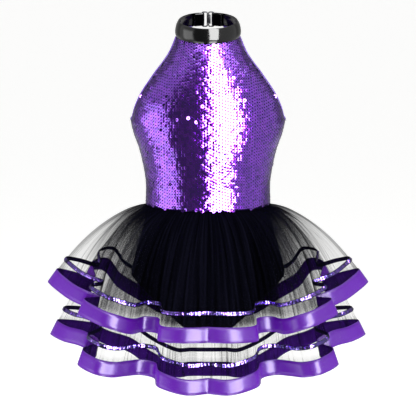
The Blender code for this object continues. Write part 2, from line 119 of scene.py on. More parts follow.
def pointAt(place, run, line):
    # Where a line is at this distance along it.
    return np.array([np.interp(place, run, axis) for axis in line.T])


def evenly(line, count):
    run = runOf(line)
    return pointAt(np.linspace(0, run[-1], count + 1), run, line).T


def gridNormals(grid):
    # A grid's rows go down and its columns go anticlockwise, seen from above.
    down = np.gradient(grid, axis=0)
    along = np.gradient(grid, axis=1)
    return unit(np.cross(down, along))


def ringNormals(grid):
    # The same for a grid whose last column repeats the first.
    wide = np.concatenate([grid[:, -3:-1], grid, grid[:, 1:3]], axis=1)
    return gridNormals(wide)[:, 2:-2]


def eased(value, start, end):
    t = np.clip((value - start) / (end - start), 0, 1)
    return t * t * (3 - 2 * t)


def softNoise(generator, count, places):
    # Smooth random waves round a ring, count of them, between -1 and 1.
    knots = generator.uniform(-1, 1, count)
    index = np.asarray(places) % 1.0 * count
    low = np.floor(index).astype(int) % count
    t = index - np.floor(index)
    t = t * t * (3 - 2 * t)
    return knots[low] * (1 - t) + knots[(low + 1) % count] * t


def softened(values, window, axis=0):
    # The mean over this many places on either side, round a ring.
    return np.mean([np.roll(values, shift, axis=axis) for shift in range(-window, window + 1)], axis=0)


def meshObject(name, points, faces, materials, uv=None, merge=0.0):
    # Points are in millimetres, and uv holds one pair for each point.
    mesh = bpy.data.meshes.new(name)
    mesh.from_pydata((np.asarray(points) * mm).tolist(), [], faces)
    if uv is not None:
        loops = np.zeros(len(mesh.loops), np.int32)
        mesh.loops.foreach_get("vertex_index", loops)
        layer = mesh.uv_layers.new(name="cloth")
        layer.data.foreach_set("uv", (np.asarray(uv) * mm)[loops].astype(np.float32).ravel())
    for material in materials:
        mesh.materials.append(material)
    if merge:
        work = bmesh.new()
        work.from_mesh(mesh)
        bmesh.ops.remove_doubles(work, verts=work.verts, dist=merge * mm)
        work.to_mesh(mesh)
        work.free()
    mesh.shade_smooth()
    made = bpy.data.objects.new(name, mesh)
    scene.collection.objects.link(made)
    return made


def gridFaces(rows, columns, offset=0):
    index = np.arange(rows * columns).reshape(rows, columns) + offset
    corners = [index[:-1, :-1], index[1:, :-1], index[1:, 1:], index[:-1, 1:]]
    return np.stack(corners, axis=-1).reshape(-1, 4).tolist()


def tubeFaces(rows, count, closed=False):
    # Rings of points joined into a tube. Open ends are capped.
    faces = []
    for i in range(rows if closed else rows - 1):
        for j in range(count):
            a, b = i * count, (i + 1) % rows * count
            faces.append([a + j, a + (j + 1) % count, b + (j + 1) % count, b + j])
    if not closed:
        faces += [list(range(count))[::-1], [(rows - 1) * count + j for j in range(count)]]
    return faces


def gridUv(grid, middle=True):
    # Across from the middle column, and down the middle column, in millimetres.
    columns = grid.shape[1]
    centre = columns // 2 if middle else 0
    across = np.array([runOf(row) for row in grid])
    across = across - across[:, centre:centre + 1]
    down = runOf(grid[:, centre])[:, None] * np.ones((1, columns))
    return np.stack([across, down], axis=-1)


def thicken(piece, thickness, inner=0):
    wall = piece.modifiers.new("wall", "SOLIDIFY")
    wall.thickness = thickness * mm
    wall.offset = 0.0
    wall.use_even_offset = False
    wall.material_offset = inner
    wall.material_offset_rim = 0
    return piece


def sweep(name, path, sideways, outwards, profile, materials, closed=False):
    # A profile of (sideways, outwards) points is carried along the path.
    path, sideways, outwards = (np.asarray(part) for part in (path, sideways, outwards))
    profile = np.asarray(profile)
    rings = (path[:, None] + sideways[:, None] * profile[None, :, :1]
             + outwards[:, None] * profile[None, :, 1:2])
    rows, count = rings.shape[:2]
    faces = tubeFaces(rows, count, closed)
    run = runOf(path)
    ring = np.arange(count) / count * 2 * np.linalg.norm(profile.max(0) - profile.min(0))
    uv = np.stack(np.meshgrid(run, ring, indexing="ij"), axis=-1).reshape(-1, 2)
    made = meshObject(name, rings.reshape(-1, 3), faces, materials, uv)
    faceOut(made)
    return made


def faceOut(piece):
    work = bmesh.new()
    work.from_mesh(piece.data)
    bmesh.ops.recalc_face_normals(work, faces=work.faces)
    work.to_mesh(piece.data)
    work.free()


def softRectangle(width, height, power, count):
    turns = np.arange(count) / count * 2 * math.pi
    x, y = np.cos(turns), np.sin(turns)
    return np.stack([width / 2 * np.sign(x) * np.abs(x) ** power,
                     height / 2 * np.sign(y) * np.abs(y) ** power], axis=1)


# Geometry Nodes: sequins on their seats, and rows of stitches

def treeWithInputs(name, sockets):
    tree = bpy.data.node_groups.new(name, "GeometryNodeTree")
    tree.interface.new_socket("Geometry", in_out="INPUT", socket_type="NodeSocketGeometry")
    tree.interface.new_socket("Geometry", in_out="OUTPUT", socket_type="NodeSocketGeometry")
    for label, kind, value in sockets:
        socket = tree.interface.new_socket(label, in_out="INPUT", socket_type=kind)
        if value is not None:
            socket.default_value = value
    return tree


def bakeModifiers(piece):
    # Turns the evaluated result into a plain mesh and drops the modifiers.
    graph = bpy.context.evaluated_depsgraph_get()
    result = bpy.data.meshes.new_from_object(piece.evaluated_get(graph), depsgraph=graph)
    piece.modifiers.clear()
    before = piece.data
    piece.data = result
    result.name = piece.name
    bpy.data.meshes.remove(before)
    return piece


def runTree(piece, tree, values):
    # Sets the inputs by identifier, before the piece is first evaluated.
    modifier = piece.modifiers.new(tree.name, "NODES")
    modifier.node_group = tree
    for item in tree.interface.items_tree:
        if item.item_type == "SOCKET" and item.in_out == "INPUT" and item.name in values:
            modifier[item.identifier] = values[item.name]
    return bakeModifiers(piece)


def makeSequinTree():
    # Each seat gets one cupped disc with a hole, tipped a little its own way.
    tree = treeWithInputs("sequinsOnSeats", [
        ("Diameter", "NodeSocketFloat", 0.0056), ("Hole", "NodeSocketFloat", 0.0011),
        ("Cup", "NodeSocketFloat", 0.0004), ("Sides", "NodeSocketInt", 12), ("Lean", "NodeSocketFloat", 0.08),
        ("Tip", "NodeSocketFloat", 0.07), ("Stray tip", "NodeSocketFloat", 0.4),
        ("Stray share", "NodeSocketFloat", 0.03), ("Seed", "NodeSocketInt", 3),
        ("Material", "NodeSocketMaterial", None)])
    given = addNode(tree, "NodeGroupInput").outputs
    half = [addNode(tree, "ShaderNodeMath", {0: given[name], 1: 0.5}, operation="MULTIPLY").outputs[0]
            for name in ("Diameter", "Hole")]
    disc = addNode(tree, "GeometryNodeMeshCone", {
        "Vertices": given["Sides"], "Radius Bottom": half[0], "Radius Top": half[1], "Depth": given["Cup"]},
        fill_type="NONE")
    smooth = addNode(tree, "GeometryNodeSetShadeSmooth", {"Geometry": disc.outputs["Mesh"]})
    facing = addNode(tree, "GeometryNodeInputNamedAttribute", {"Name": "facing"}, data_type="FLOAT_VECTOR")
    upright = addNode(tree, "FunctionNodeAlignRotationToVector", {"Vector": facing.outputs[0]}, axis="Z")
    seedTwo = addNode(tree, "ShaderNodeMath", {0: given["Seed"], 1: 17.0}, operation="ADD")
    seedThree = addNode(tree, "ShaderNodeMath", {0: given["Seed"], 1: 31.0}, operation="ADD")
    evenTip = addNode(tree, "FunctionNodeRandomValue", {
        0: (-1.0, -1.0, 0.0), 1: (1.0, 1.0, 6.28), "Seed": given["Seed"]}, data_type="FLOAT_VECTOR")
    stray = addNode(tree, "FunctionNodeRandomValue", {
        "Probability": given["Stray share"], "Seed": seedTwo.outputs[0]}, data_type="BOOLEAN")
    size = addNode(tree, "GeometryNodeSwitch", {
        "Switch": stray.outputs[3], "False": given["Tip"], "True": given["Stray tip"]}, input_type="FLOAT")
    wide = addNode(tree, "ShaderNodeCombineXYZ", {0: size.outputs[0], 1: size.outputs[0], 2: 1.0})
    tipped = addNode(tree, "ShaderNodeVectorMath", {0: evenTip.outputs[0], 1: wide.outputs[0]},
                     operation="MULTIPLY")
    lean = addNode(tree, "ShaderNodeCombineXYZ", {0: given["Lean"], 1: 0.0, 2: 0.0})
    leaning = addNode(tree, "ShaderNodeVectorMath", {0: tipped.outputs[0], 1: lean.outputs[0]},
                      operation="ADD")
    turn = addNode(tree, "FunctionNodeEulerToRotation", {0: leaning.outputs[0]})
    laid = addNode(tree, "FunctionNodeRotateRotation", {0: upright.outputs[0], 1: turn.outputs[0]},
                   rotation_space="LOCAL")
    placed = addNode(tree, "GeometryNodeInstanceOnPoints", {
        "Points": given["Geometry"], "Instance": smooth.outputs[0], "Rotation": laid.outputs[0]})
    shade = addNode(tree, "FunctionNodeRandomValue", {2: 0.0, 3: 1.0, "Seed": seedThree.outputs[0]},
                    data_type="FLOAT")
    named = addNode(tree, "GeometryNodeStoreNamedAttribute", {
        "Geometry": placed.outputs[0], "Name": "shade", "Value": shade.outputs[1]},
        data_type="FLOAT", domain="INSTANCE")
    real = addNode(tree, "GeometryNodeRealizeInstances", {"Geometry": named.outputs[0]})
    painted = addNode(tree, "GeometryNodeSetMaterial", {
        "Geometry": real.outputs[0], "Material": given["Material"]})
    addNode(tree, "NodeGroupOutput", {0: painted.outputs[0]})
    return tree


def makeStitchTree():
    # A path becomes a row of short threads, each dipping into the cloth at its ends.
    tree = treeWithInputs("stitchesAlongPath", [
        ("Pitch", "NodeSocketFloat", 0.003), ("Length", "NodeSocketFloat", 0.0022),
        ("Thread", "NodeSocketFloat", 0.0004), ("Material", "NodeSocketMaterial", None)])
    given = addNode(tree, "NodeGroupInput").outputs
    path = addNode(tree, "GeometryNodeMeshToCurve", {"Mesh": given["Geometry"]})
    places = addNode(tree, "GeometryNodeResampleCurve", {"Curve": path.outputs[0], "Length": given["Pitch"]},
                     mode="LENGTH")
    along = addNode(tree, "GeometryNodeInputTangent")
    turned = addNode(tree, "FunctionNodeAlignRotationToVector", {"Vector": along.outputs[0]}, axis="Z")
    thread = addNode(tree, "GeometryNodeMeshUVSphere", {"Segments": 6, "Rings": 5, "Radius": 0.5})
    size = addNode(tree, "ShaderNodeCombineXYZ", {0: given["Thread"], 1: given["Thread"], 2: given["Length"]})
    placed = addNode(tree, "GeometryNodeInstanceOnPoints", {
        "Points": places.outputs[0], "Instance": thread.outputs["Mesh"], "Rotation": turned.outputs[0],
        "Scale": size.outputs[0]})
    real = addNode(tree, "GeometryNodeRealizeInstances", {"Geometry": placed.outputs[0]})
    smooth = addNode(tree, "GeometryNodeSetShadeSmooth", {"Geometry": real.outputs[0]})
    painted = addNode(tree, "GeometryNodeSetMaterial", {
        "Geometry": smooth.outputs[0], "Material": given["Material"]})
    addNode(tree, "NodeGroupOutput", {0: painted.outputs[0]})
    return tree


sequinTree = makeSequinTree()
stitchTree = makeStitchTree()


def sewSequins(name, seats, facing, material, values):
    made = meshObject(name, seats, [], [])
    attribute = made.data.attributes.new("facing", "FLOAT_VECTOR", "POINT")
    attribute.data.foreach_set("vector", np.asarray(facing, np.float32).ravel())
    return runTree(made, sequinTree, {**values, "Material": material})


def sewStitches(name, paths, material, values):
    # Each path is a line of points in millimetres.
    mesh = bpy.data.meshes.new(name)
    points, edges = [], []
    for path in paths:
        edges += [(len(points) + i, len(points) + i + 1) for i in range(len(path) - 1)]
        points += (np.asarray(path) * mm).tolist()
    mesh.from_pydata(points, edges, [])
    made = bpy.data.objects.new(name, mesh)
    scene.collection.objects.link(made)
    return runTree(made, stitchTree, {**values, "Material": material})


# Camera, light and floor

studio = {
    "cameraDistance": 5.0, "cameraHeight": 5.0, "lookAt": -0.290,  # metres, degrees, metres
    "focalPixels": 3125.0, "imagePixels": 416, "sensor": 36.0,
    "floor": -0.70, "floorFront": -0.7, "floorBack": 60.0, "floorHalfWidth": 30.0, "floorGlow": 0.56,
    "ambient": 0.64, "softAmbient": 0.42, "softBelow": 16.0, "softAbove": 20.0, "farthest": 200.0,
    # each soft box or flag: from and to, in degrees round to the right of the camera, how wide those two
    # edges fade, low and high in degrees above the horizon, and how much light it adds; the low edges fade
    # over softBelow and the high ones over softAbove
    "boxes": [("dark flag", -47.0, -1.5, 12.0, 2.5, -70.0, 44.0, -0.52),
              ("top of the flag", -38.0, -1.5, 8.0, 2.5, 48.0, 86.0, -0.6),
              ("left strip", -92.0, -50.0, 14.0, 10.0, -26.0, 16.0, 1.9),
              ("ceiling, left", -400.0, -28.0, 1.0, 8.0, 56.0, 200.0, 0.5),
              ("ceiling, right", 40.0, 400.0, 8.0, 1.0, 56.0, 200.0, 0.5),
              ("behind, left", -400.0, -112.0, 1.0, 16.0, -12.0, 50.0, -0.38),
              ("behind, right", 112.0, 400.0, 16.0, 1.0, -12.0, 50.0, -0.38),
              ("under the panel", 3.0, 38.0, 8.0, 10.0, -82.0, -40.0, 9.0),
              ("under the strip", -62.0, -20.0, 14.0, 10.0, -82.0, -44.0, 3.2),
              ("low, left", -400.0, -78.0, 1.0, 12.0, -100.0, -26.0, -0.15),
              ("low, right", 0.0, 400.0, 10.0, 1.0, -100.0, -34.0, -0.2)],
    # soft boxes: one overhead, which also lifts the floor to the white of the backdrop, and one on each side
    "overheadSize": (2.4, 1.8), "overheadWatts": 26.0, "overheadPlace": (0.3, -0.9, 2.1),
    "overheadTurn": (-22, 8), "softRound": 74.0, "softWatts": 30.0, "softSize": 1.6, "softAway": 2.6,
    "softRise": 0.1, "softTilt": 82,
    # the key panel lights the gloss only: how far round to the right, distance, width, height, rise, watts
    "panelRound": 20.0, "panelAway": 2.6, "panelWidth": 1.62, "panelHeight": 9.0, "panelRise": 3.1,
    "panelWatts": 690.0,
}


def makeCamera():
    rise = math.radians(studio["cameraHeight"])
    camera = bpy.data.objects.new("camera", bpy.data.cameras.new("camera"))
    camera.location = (0.0, -studio["cameraDistance"] * math.cos(rise),
                       studio["lookAt"] + studio["cameraDistance"] * math.sin(rise))
    camera.rotation_euler = (math.pi / 2 - rise, 0.0, 0.0)
    camera.data.sensor_width = studio["sensor"]
    camera.data.lens = studio["focalPixels"] / studio["imagePixels"] * studio["sensor"]
    camera.data.clip_end = studio["farthest"]
    scene.collection.objects.link(camera)
    scene.camera = camera


def addLamp(name, width, height, watts, place):
    lamp = bpy.data.lights.new(name, "AREA")
    lamp.shape = "RECTANGLE"
    lamp.size, lamp.size_y, lamp.energy = width, height, watts
    made = bpy.data.objects.new(name, lamp)
    made.location = place
    scene.collection.objects.link(made)
    return made


def standLamp(name, width, height, watts, around, away, rise, tilt):
    # A lamp that stands this many degrees round to the right of the camera and faces the middle.
    turn = math.radians(around)
    made = addLamp(name, width, height, watts, (away * math.sin(turn), -away * math.cos(turn), rise))
    made.rotation_euler = (math.radians(tilt), 0.0, turn)
    return made


def makeSurroundings():
    # What the gloss mirrors, and the soft light from all round. The camera sees plain white.
    world = bpy.data.worlds.new("studio")
    world.use_nodes = True
    scene.world = world
    tree = world.node_tree
    tree.nodes.clear()
    direction = addNode(tree, "ShaderNodeTexCoord")
    parts = addNode(tree, "ShaderNodeSeparateXYZ", {0: direction.outputs["Generated"]})
    ahead = addNode(tree, "ShaderNodeMath", {0: parts.outputs[1], 1: -1.0}, operation="MULTIPLY")
    around = addNode(tree, "ShaderNodeMath", {0: parts.outputs[0], 1: ahead.outputs[0]}, operation="ARCTAN2")
    above = addNode(tree, "ShaderNodeMath", {0: parts.outputs[2]}, operation="ARCSINE")
    light = studio["ambient"]
    for label, left, right, softLeft, softRight, low, high, amount in studio["boxes"]:
        box = amount
        for angle, edge, softness, outside in (
                (around, left, softLeft, 0.0), (around, right, softRight, 1.0),
                (above, low, studio["softBelow"], 0.0), (above, high, studio["softAbove"], 1.0)):
            side = addNode(tree, "ShaderNodeMapRange", {
                "Value": angle.outputs[0], 1: math.radians(edge - softness / 2),
                2: math.radians(edge + softness / 2), 3: outside, 4: 1.0 - outside},
                interpolation_type="SMOOTHSTEP", label=label)
            both = addNode(tree, "ShaderNodeMath", {0: box, 1: side.outputs[0]}, operation="MULTIPLY")
            box = both.outputs[0]
        light = addNode(tree, "ShaderNodeMath", {0: light, 1: box}, operation="ADD").outputs[0]
    seen = addNode(tree, "ShaderNodeLightPath")
    soft = addNode(tree, "ShaderNodeMix", {
        0: seen.outputs["Is Diffuse Ray"], 2: light, 3: studio["softAmbient"]}, data_type="FLOAT")
    strength = addNode(tree, "ShaderNodeMix", {0: seen.outputs["Is Camera Ray"], 2: soft.outputs[0], 3: 1.0},
                       data_type="FLOAT")
    glow = addNode(tree, "ShaderNodeBackground", {
        "Color": (1.0, 1.0, 1.0, 1.0), "Strength": strength.outputs[0]})
    addNode(tree, "ShaderNodeOutputWorld", {"Surface": glow.outputs[0]})


def makeLamps():
    overhead = addLamp("overhead softbox", *studio["overheadSize"], studio["overheadWatts"],
                       studio["overheadPlace"])
    overhead.rotation_euler = (*np.radians(studio["overheadTurn"]), 0.0)
    panel = standLamp("gloss panel", studio["panelWidth"], studio["panelHeight"], studio["panelWatts"],
                      studio["panelRound"], studio["panelAway"], studio["panelRise"], 90.0)
    panel.visible_diffuse = False
    panel.visible_transmission = False
    panel.visible_camera = False
    # a large soft box on each side lights the cloth alone, so that the sides of the flutes are brightest
    for side, name in ((-1, "left softbox"), (1, "right softbox")):
        soft = standLamp(name, studio["softSize"], studio["softSize"], studio["softWatts"],
                         side * studio["softRound"], studio["softAway"], studio["softRise"],
                         studio["softTilt"])
        soft.visible_glossy = False
        soft.visible_camera = False


def makeFloor():
    # Painted studio floor: matt white emulsion, with the faint mottle of a roller.
    material, tree, shader = startMaterial("matt white floor paint", "#f4f4f2", Roughness=0.85)
    place = addNode(tree, "ShaderNodeTexCoord").outputs["Object"]
    mottle = addNode(tree, "ShaderNodeTexNoise", {"Vector": place, "Scale": 60.0, "Detail": 4.0})
    bump = addNode(tree, "ShaderNodeBump", {
        "Height": mottle.outputs[0], "Strength": 0.05, "Distance": 0.0005})
    tree.links.new(bump.outputs[0], shader.inputs["Normal"])
    shader.inputs["Emission Color"].default_value = (1.0, 1.0, 1.0, 1.0)
    shader.inputs["Emission Strength"].default_value = studio["floorGlow"]
    wide, level = studio["floorHalfWidth"] / mm, studio["floor"] / mm
    front, back = studio["floorFront"] / mm, studio["floorBack"] / mm
    floor = meshObject("floor", [(-wide, front, level), (wide, front, level), (wide, back, level),
                                 (-wide, back, level)], [[0, 1, 2, 3]], [material])
    floor.visible_glossy = False


makeCamera()
makeSurroundings()
makeLamps()
makeFloor()
scene.view_settings.view_transform = "Standard"
scene.view_settings.look = "None"
scene.cycles.transparent_max_bounces = 32
print("camera, light and floor are ready")


# The bodice and the brief are cut from the same rows as the model, with more points between them.
# A row is a piece of an ellipse: edge x, y, z, middle y, z, how many quarter turns it makes, and
# how far from the middle it starts.

collar = {
    "halfWidth": 48.5, "halfDepth": 45.0, "height": 25.0, "bulge": 2.6, "tilt": math.radians(16.5),
    "drop": -2.0, "seam": -3.0, "cloth": 1.6, "haltReach": 0.93, "loopHeight": 21.0, "loopRadius": 2.6,
    "tail": 12.0, "tailBend": 0.9, "tailSteps": 6, "loopSteps": 8, "sideSteps": 70, "sides": 32,
    # the band swings clear of the loop from this far past the bar to this far round
    "clearFrom": 4.0, "clearTo": math.radians(42),
    # soft forms: the edges' pucker, the lean, the face's folds and the two ridges inside
    "pucker": 0.35, "pulls": [(34, 0.6), (71, 0.4)], "lean": 4.4, "folds": 15, "foldDepth": 0.3,
    "ridge": 0.35, "ridges": 2.5, "crown": 2.6, "cornerUp": 0.75, "cornerOut": 0.45, "seed": 7,
}

waist = {
    "halfWidth": 99.0, "side": -281.5, "frontDepth": 78.0, "front": -290.0, "backDepth": 70.0, "back": -287.0,
}

frontRows = [
    (57.0, -10.0, -35.0, -50.0, -40.0, 0.86, 0), (69.5, -18.0, -55.0, -60.0, -58.0, 0.80, 0),
    (81.0, -23.0, -70.0, -68.0, -74.0, 0.80, 0), (91.5, -26.0, -85.0, -75.0, -90.0, 0.82, 0),
    (101.0, -27.0, -99.0, -81.0, -106.0, 0.84, 0), (109.0, -26.0, -113.0, -85.0, -121.0, 0.87, 0),
    (115.5, -22.0, -128.0, -88.0, -136.0, 0.91, 0), (119.5, -14.0, -141.0, -89.0, -150.0, 0.96, 0),
    (121.8, -5.0, -148.0, -89.0, -160.0, 1.0, 0), (122.4, 0.0, -149.5, -89.0, -168.0, 1.0, 0),
    (118.0, 0.0, -168.0, -88.0, -186.0, 1.0, 0), (109.5, 0.0, -192.0, -85.5, -208.0, 1.0, 0),
    (103.0, 0.0, -219.0, -82.0, -233.0, 1.0, 0), (98.6, 0.0, -248.0, -79.0, -259.0, 1.0, 0),
]
backRows = [
    (60.0, 11.0, -38.0, 58.0, -22.0, 0.90, 30.0), (71.5, 18.0, -57.0, 66.0, -45.0, 0.86, 38.0),
    (82.0, 23.0, -72.0, 73.0, -66.0, 0.85, 45.0), (91.5, 26.0, -86.0, 78.0, -86.0, 0.85, 50.0),
    (101.0, 27.0, -100.0, 81.0, -106.0, 0.86, 53.0), (109.0, 26.0, -114.0, 83.0, -126.0, 0.88, 53.5),
    (115.5, 22.0, -128.5, 83.5, -146.0, 0.92, 51.0), (119.5, 14.0, -141.0, 83.0, -163.0, 0.96, 45.0),
    (121.8, 5.0, -148.0, 82.0, -177.0, 1.0, 36.0), (122.4, 0.0, -149.5, 81.0, -187.0, 1.0, 25.0),
    (120.0, 0.0, -160.0, 80.0, -193.5, 1.0, 12.0), (117.0, 0.0, -171.0, 79.0, -196.5, 1.0, 0.0),
    (110.0, 0.0, -190.0, 77.0, -211.0, 1.0, 0.0), (103.0, 0.0, -219.0, 74.0, -234.0, 1.0, 0.0),
    (98.6, 0.0, -248.0, 71.0, -258.0, 1.0, 0.0),
]
briefFrontRows = [
    (97.0, 0.0, -282.2, -76.0, -290.7, 1.0, 0), (101.0, 0.0, -312.0, -79.0, -319.0, 1.0, 0),
    (111.0, 0.0, -347.0, -84.0, -352.0, 1.0, 0), (119.5, 0.0, -378.0, -88.0, -383.0, 1.0, 0),
    (122.0, 0.0, -394.0, -89.0, -402.0, 1.0, 0), (118.0, -12.0, -400.0, -88.0, -414.0, 0.97, 0),
    (109.0, -28.0, -409.0, -86.0, -427.0, 0.94, 0), (95.0, -42.0, -422.0, -82.0, -441.0, 0.92, 0),
    (79.0, -51.0, -437.0, -75.0, -454.0, 0.92, 0), (63.0, -51.0, -453.0, -64.0, -467.0, 0.94, 0),
    (48.0, -40.0, -468.0, -48.0, -478.0, 0.97, 0), (38.0, -22.0, -479.0, -26.0, -486.0, 1.0, 0),
    (34.0, 2.0, -484.0, 2.0, -490.0, 1.0, 0),
]
briefBackRows = [
    (97.0, 0.0, -282.2, 68.0, -287.7, 1.0, 0), (101.0, 0.0, -312.0, 73.0, -316.0, 1.0, 0),
    (111.0, 0.0, -347.0, 83.0, -350.0, 1.0, 0), (119.5, 0.0, -378.0, 91.0, -383.0, 1.0, 0),
    (122.0, 0.0, -394.0, 93.0, -405.0, 1.0, 0), (120.0, 15.0, -400.0, 93.0, -420.0, 0.97, 0),
    (114.0, 33.0, -409.0, 90.0, -436.0, 0.94, 0), (103.0, 48.0, -421.0, 85.0, -451.0, 0.92, 0),
    (87.0, 58.0, -437.0, 76.0, -465.0, 0.92, 0), (68.0, 57.0, -455.0, 61.0, -477.0, 0.94, 0),
    (50.0, 44.0, -470.0, 42.0, -485.0, 0.97, 0), (38.0, 24.0, -480.0, 22.0, -489.0, 1.0, 0),
    (34.0, 2.3, -484.0, 2.3, -490.0, 1.0, 0),
]


def tilted(points):
    # From the collar's own level place to its slant on the neck.
    x, y, z = np.moveaxis(np.asarray(points, float), -1, 0)
    cos, sin = math.cos(collar["tilt"]), math.sin(collar["tilt"])
    return np.stack([x, y * cos - z * sin, y * sin + z * cos + collar["drop"]], axis=-1)


def collarRow(side, inner):
    level = -collar["height"] / 2 - collar["seam"]
    full = collar["haltReach"] * math.pi / 2
    edge = tilted((collar["halfWidth"] * math.sin(full), side * collar["halfDepth"] * math.cos(full), level))
    middle = tilted((0, side * collar["halfDepth"], level))
    return (edge[0], edge[1], edge[2], middle[1], middle[2], collar["haltReach"], inner)


def waistRow(side):
    depth = -waist["frontDepth"] if side < 0 else waist["backDepth"]
    middle = waist["front"] if side < 0 else waist["back"]
    return (waist["halfWidth"], 0.0, waist["side"], depth, middle, 1.0, 0)


def panelGrid(rows, across, side, steps, half=False):
    edgeX, edgeY, edgeZ, midY, midZ, reach, inner = smoothLine(rows, steps).T[:, :, None]
    full = np.minimum(reach, 1.0) * math.pi / 2
    start = np.arcsin(np.clip(inner / edgeX, 0, 1) * np.sin(full)) if half else -full
    turn = start + (full - start) * np.linspace(0, 1, across + 1)
    bend = (np.cos(turn) - np.cos(full)) / (1 - np.cos(full))
    grid = np.stack([edgeX * np.sin(turn) / np.sin(full), edgeY + (midY - edgeY) * bend,
                     edgeZ + (midZ - edgeZ) * bend], axis=-1)
    return grid if side < 0 else grid[:, ::-1]


def creased(grid, normals, creases):
    # Each crease is a soft trough from one (x, z) to another, with its width and depth. Minus is a ridge.
    moved = grid.copy()
    for fromX, fromZ, toX, toZ, width, depth in creases:
        start, step = np.array([fromX, fromZ]), np.array([toX - fromX, toZ - fromZ], float)
        length = np.linalg.norm(step)
        step /= length
        away = grid[..., [0, 2]] - start
        along = away @ step / length
        aside = away @ np.array([-step[1], step[0]])
        shape = np.exp(-(aside / width) ** 2) * np.sin(math.pi * np.clip(along, 0, 1)) ** 0.8
        moved -= normals * (depth * shape)[..., None]
    return moved


def seamGap(grid, sides=(0, -1)):
    grid = grid.copy()
    for end in sides:
        beside = 1 if end == 0 else -2
        step = unit(grid[:, beside] - grid[:, end])
        grid[:, end] += step * gap / 2
    return grid


# Materials

def sequinFilm(name, dark, middle, light):
    # Sequin film: dyed PET with a metallised back, punched and cupped. Mirror-like colour under a clear
    # gloss, each disc a little its own shade.
    material, tree, shader = startMaterial(name, middle, Metallic=1.0, Roughness=0.16, Coat_Weight=1.0,
                                           Coat_Roughness=0.05, Coat_IOR=1.9)
    shade = addNode(tree, "ShaderNodeAttribute", attribute_name="shade")
    tint = colourRamp(tree, shade.outputs["Fac"], [(0.0, dark), (0.5, middle), (1.0, light)])
    tree.links.new(tint, shader.inputs["Base Color"])
    return material


def knit(name, hexColour, stitch, roughness, sheen, sheenColour, gloss=0.4):
    # Warp-knit nylon and spandex: fine columns of loops, with a soft bloom at grazing light.
    # The real stitch is about 0.4 mm; it is drawn coarser so that it shows.
    material, tree, shader = startMaterial(name, hexColour, Sheen_Weight=sheen, Sheen_Roughness=0.4,
                                           Specular_IOR_Level=gloss)
    shader.inputs["Sheen Tint"].default_value = toLinear(sheenColour)
    place = addNode(tree, "ShaderNodeUVMap", uv_map="cloth").outputs[0]
    ribs = addNode(tree, "ShaderNodeTexWave", {"Vector": place, "Scale": 0.314 / (stitch * mm) / 2,
                                               "Distortion": 0.4, "Detail": 1.0}, bands_direction="X")
    rows = addNode(tree, "ShaderNodeTexWave", {"Vector": place, "Scale": 0.314 / (stitch * mm) / 1.6,
                                               "Distortion": 0.6, "Detail": 1.0}, bands_direction="Y")
    loops = addNode(tree, "ShaderNodeMath", {0: ribs.outputs["Fac"], 1: rows.outputs["Fac"]},
                    operation="MULTIPLY")
    bump = addNode(tree, "ShaderNodeBump", {"Height": loops.outputs[0], "Strength": 0.5, "Distance": 0.0002})
    tree.links.new(bump.outputs[0], shader.inputs["Normal"])
    cloud = addNode(tree, "ShaderNodeTexNoise", {"Vector": place, "Scale": 30.0, "Detail": 3.0})
    worn = addNode(tree, "ShaderNodeMapRange", {
        "Value": cloud.outputs[0], 3: roughness - 0.08, 4: roughness + 0.08})
    tree.links.new(worn.outputs[0], shader.inputs["Roughness"])
    return material


def patentLeather():
    # Patent leather cloth: polyurethane lacquer on a knit back. Black, wet gloss, faint orange peel
    # and small pulls where it is turned over.
    material, tree, shader = startMaterial("patent leather cloth, black", "#050506", Coat_Weight=1.0,
                                           Coat_Roughness=0.09, Coat_IOR=1.5, Specular_IOR_Level=0.1)
    place = addNode(tree, "ShaderNodeTexCoord").outputs["Object"]
    peel = addNode(tree, "ShaderNodeTexNoise", {"Vector": place, "Scale": 260.0, "Detail": 3.0})
    pulls = addNode(tree, "ShaderNodeTexNoise", {"Vector": place, "Scale": 60.0, "Detail": 2.0})
    peelBump = addNode(tree, "ShaderNodeBump", {
        "Height": peel.outputs[0], "Strength": 0.12, "Distance": 0.0004})
    bump = addNode(tree, "ShaderNodeBump", {"Height": pulls.outputs[0], "Strength": 0.3, "Distance": 0.0012,
                                            "Normal": peelBump.outputs[0]})
    tree.links.new(bump.outputs[0], shader.inputs["Normal"])
    tree.links.new(bump.outputs[0], shader.inputs["Coat Normal"])
    smear = addNode(tree, "ShaderNodeMapRange", {"Value": pulls.outputs[0], 3: 0.1, 4: 0.24})
    tree.links.new(smear.outputs[0], shader.inputs["Roughness"])
    return material


def nickelWire():
    # Nickel-plated steel wire, tumbled: a soft grey metal with fine lengthwise drawing marks.
    material, tree, shader = startMaterial("nickel-plated wire", "#505054", Metallic=1.0)
    place = addNode(tree, "ShaderNodeTexCoord").outputs["Object"]
    drawn = addNode(tree, "ShaderNodeMapping", {"Vector": place, "Scale": (900.0, 900.0, 90.0)})
    marks = addNode(tree, "ShaderNodeTexNoise", {"Vector": drawn.outputs[0], "Scale": 1.0, "Detail": 3.0})
    rough = addNode(tree, "ShaderNodeMapRange", {"Value": marks.outputs[0], 3: 0.36, 4: 0.54})
    tree.links.new(rough.outputs[0], shader.inputs["Roughness"])
    bump = addNode(tree, "ShaderNodeBump", {"Height": marks.outputs[0], "Strength": 0.15, "Distance": 0.0001})
    tree.links.new(bump.outputs[0], shader.inputs["Normal"])
    return material


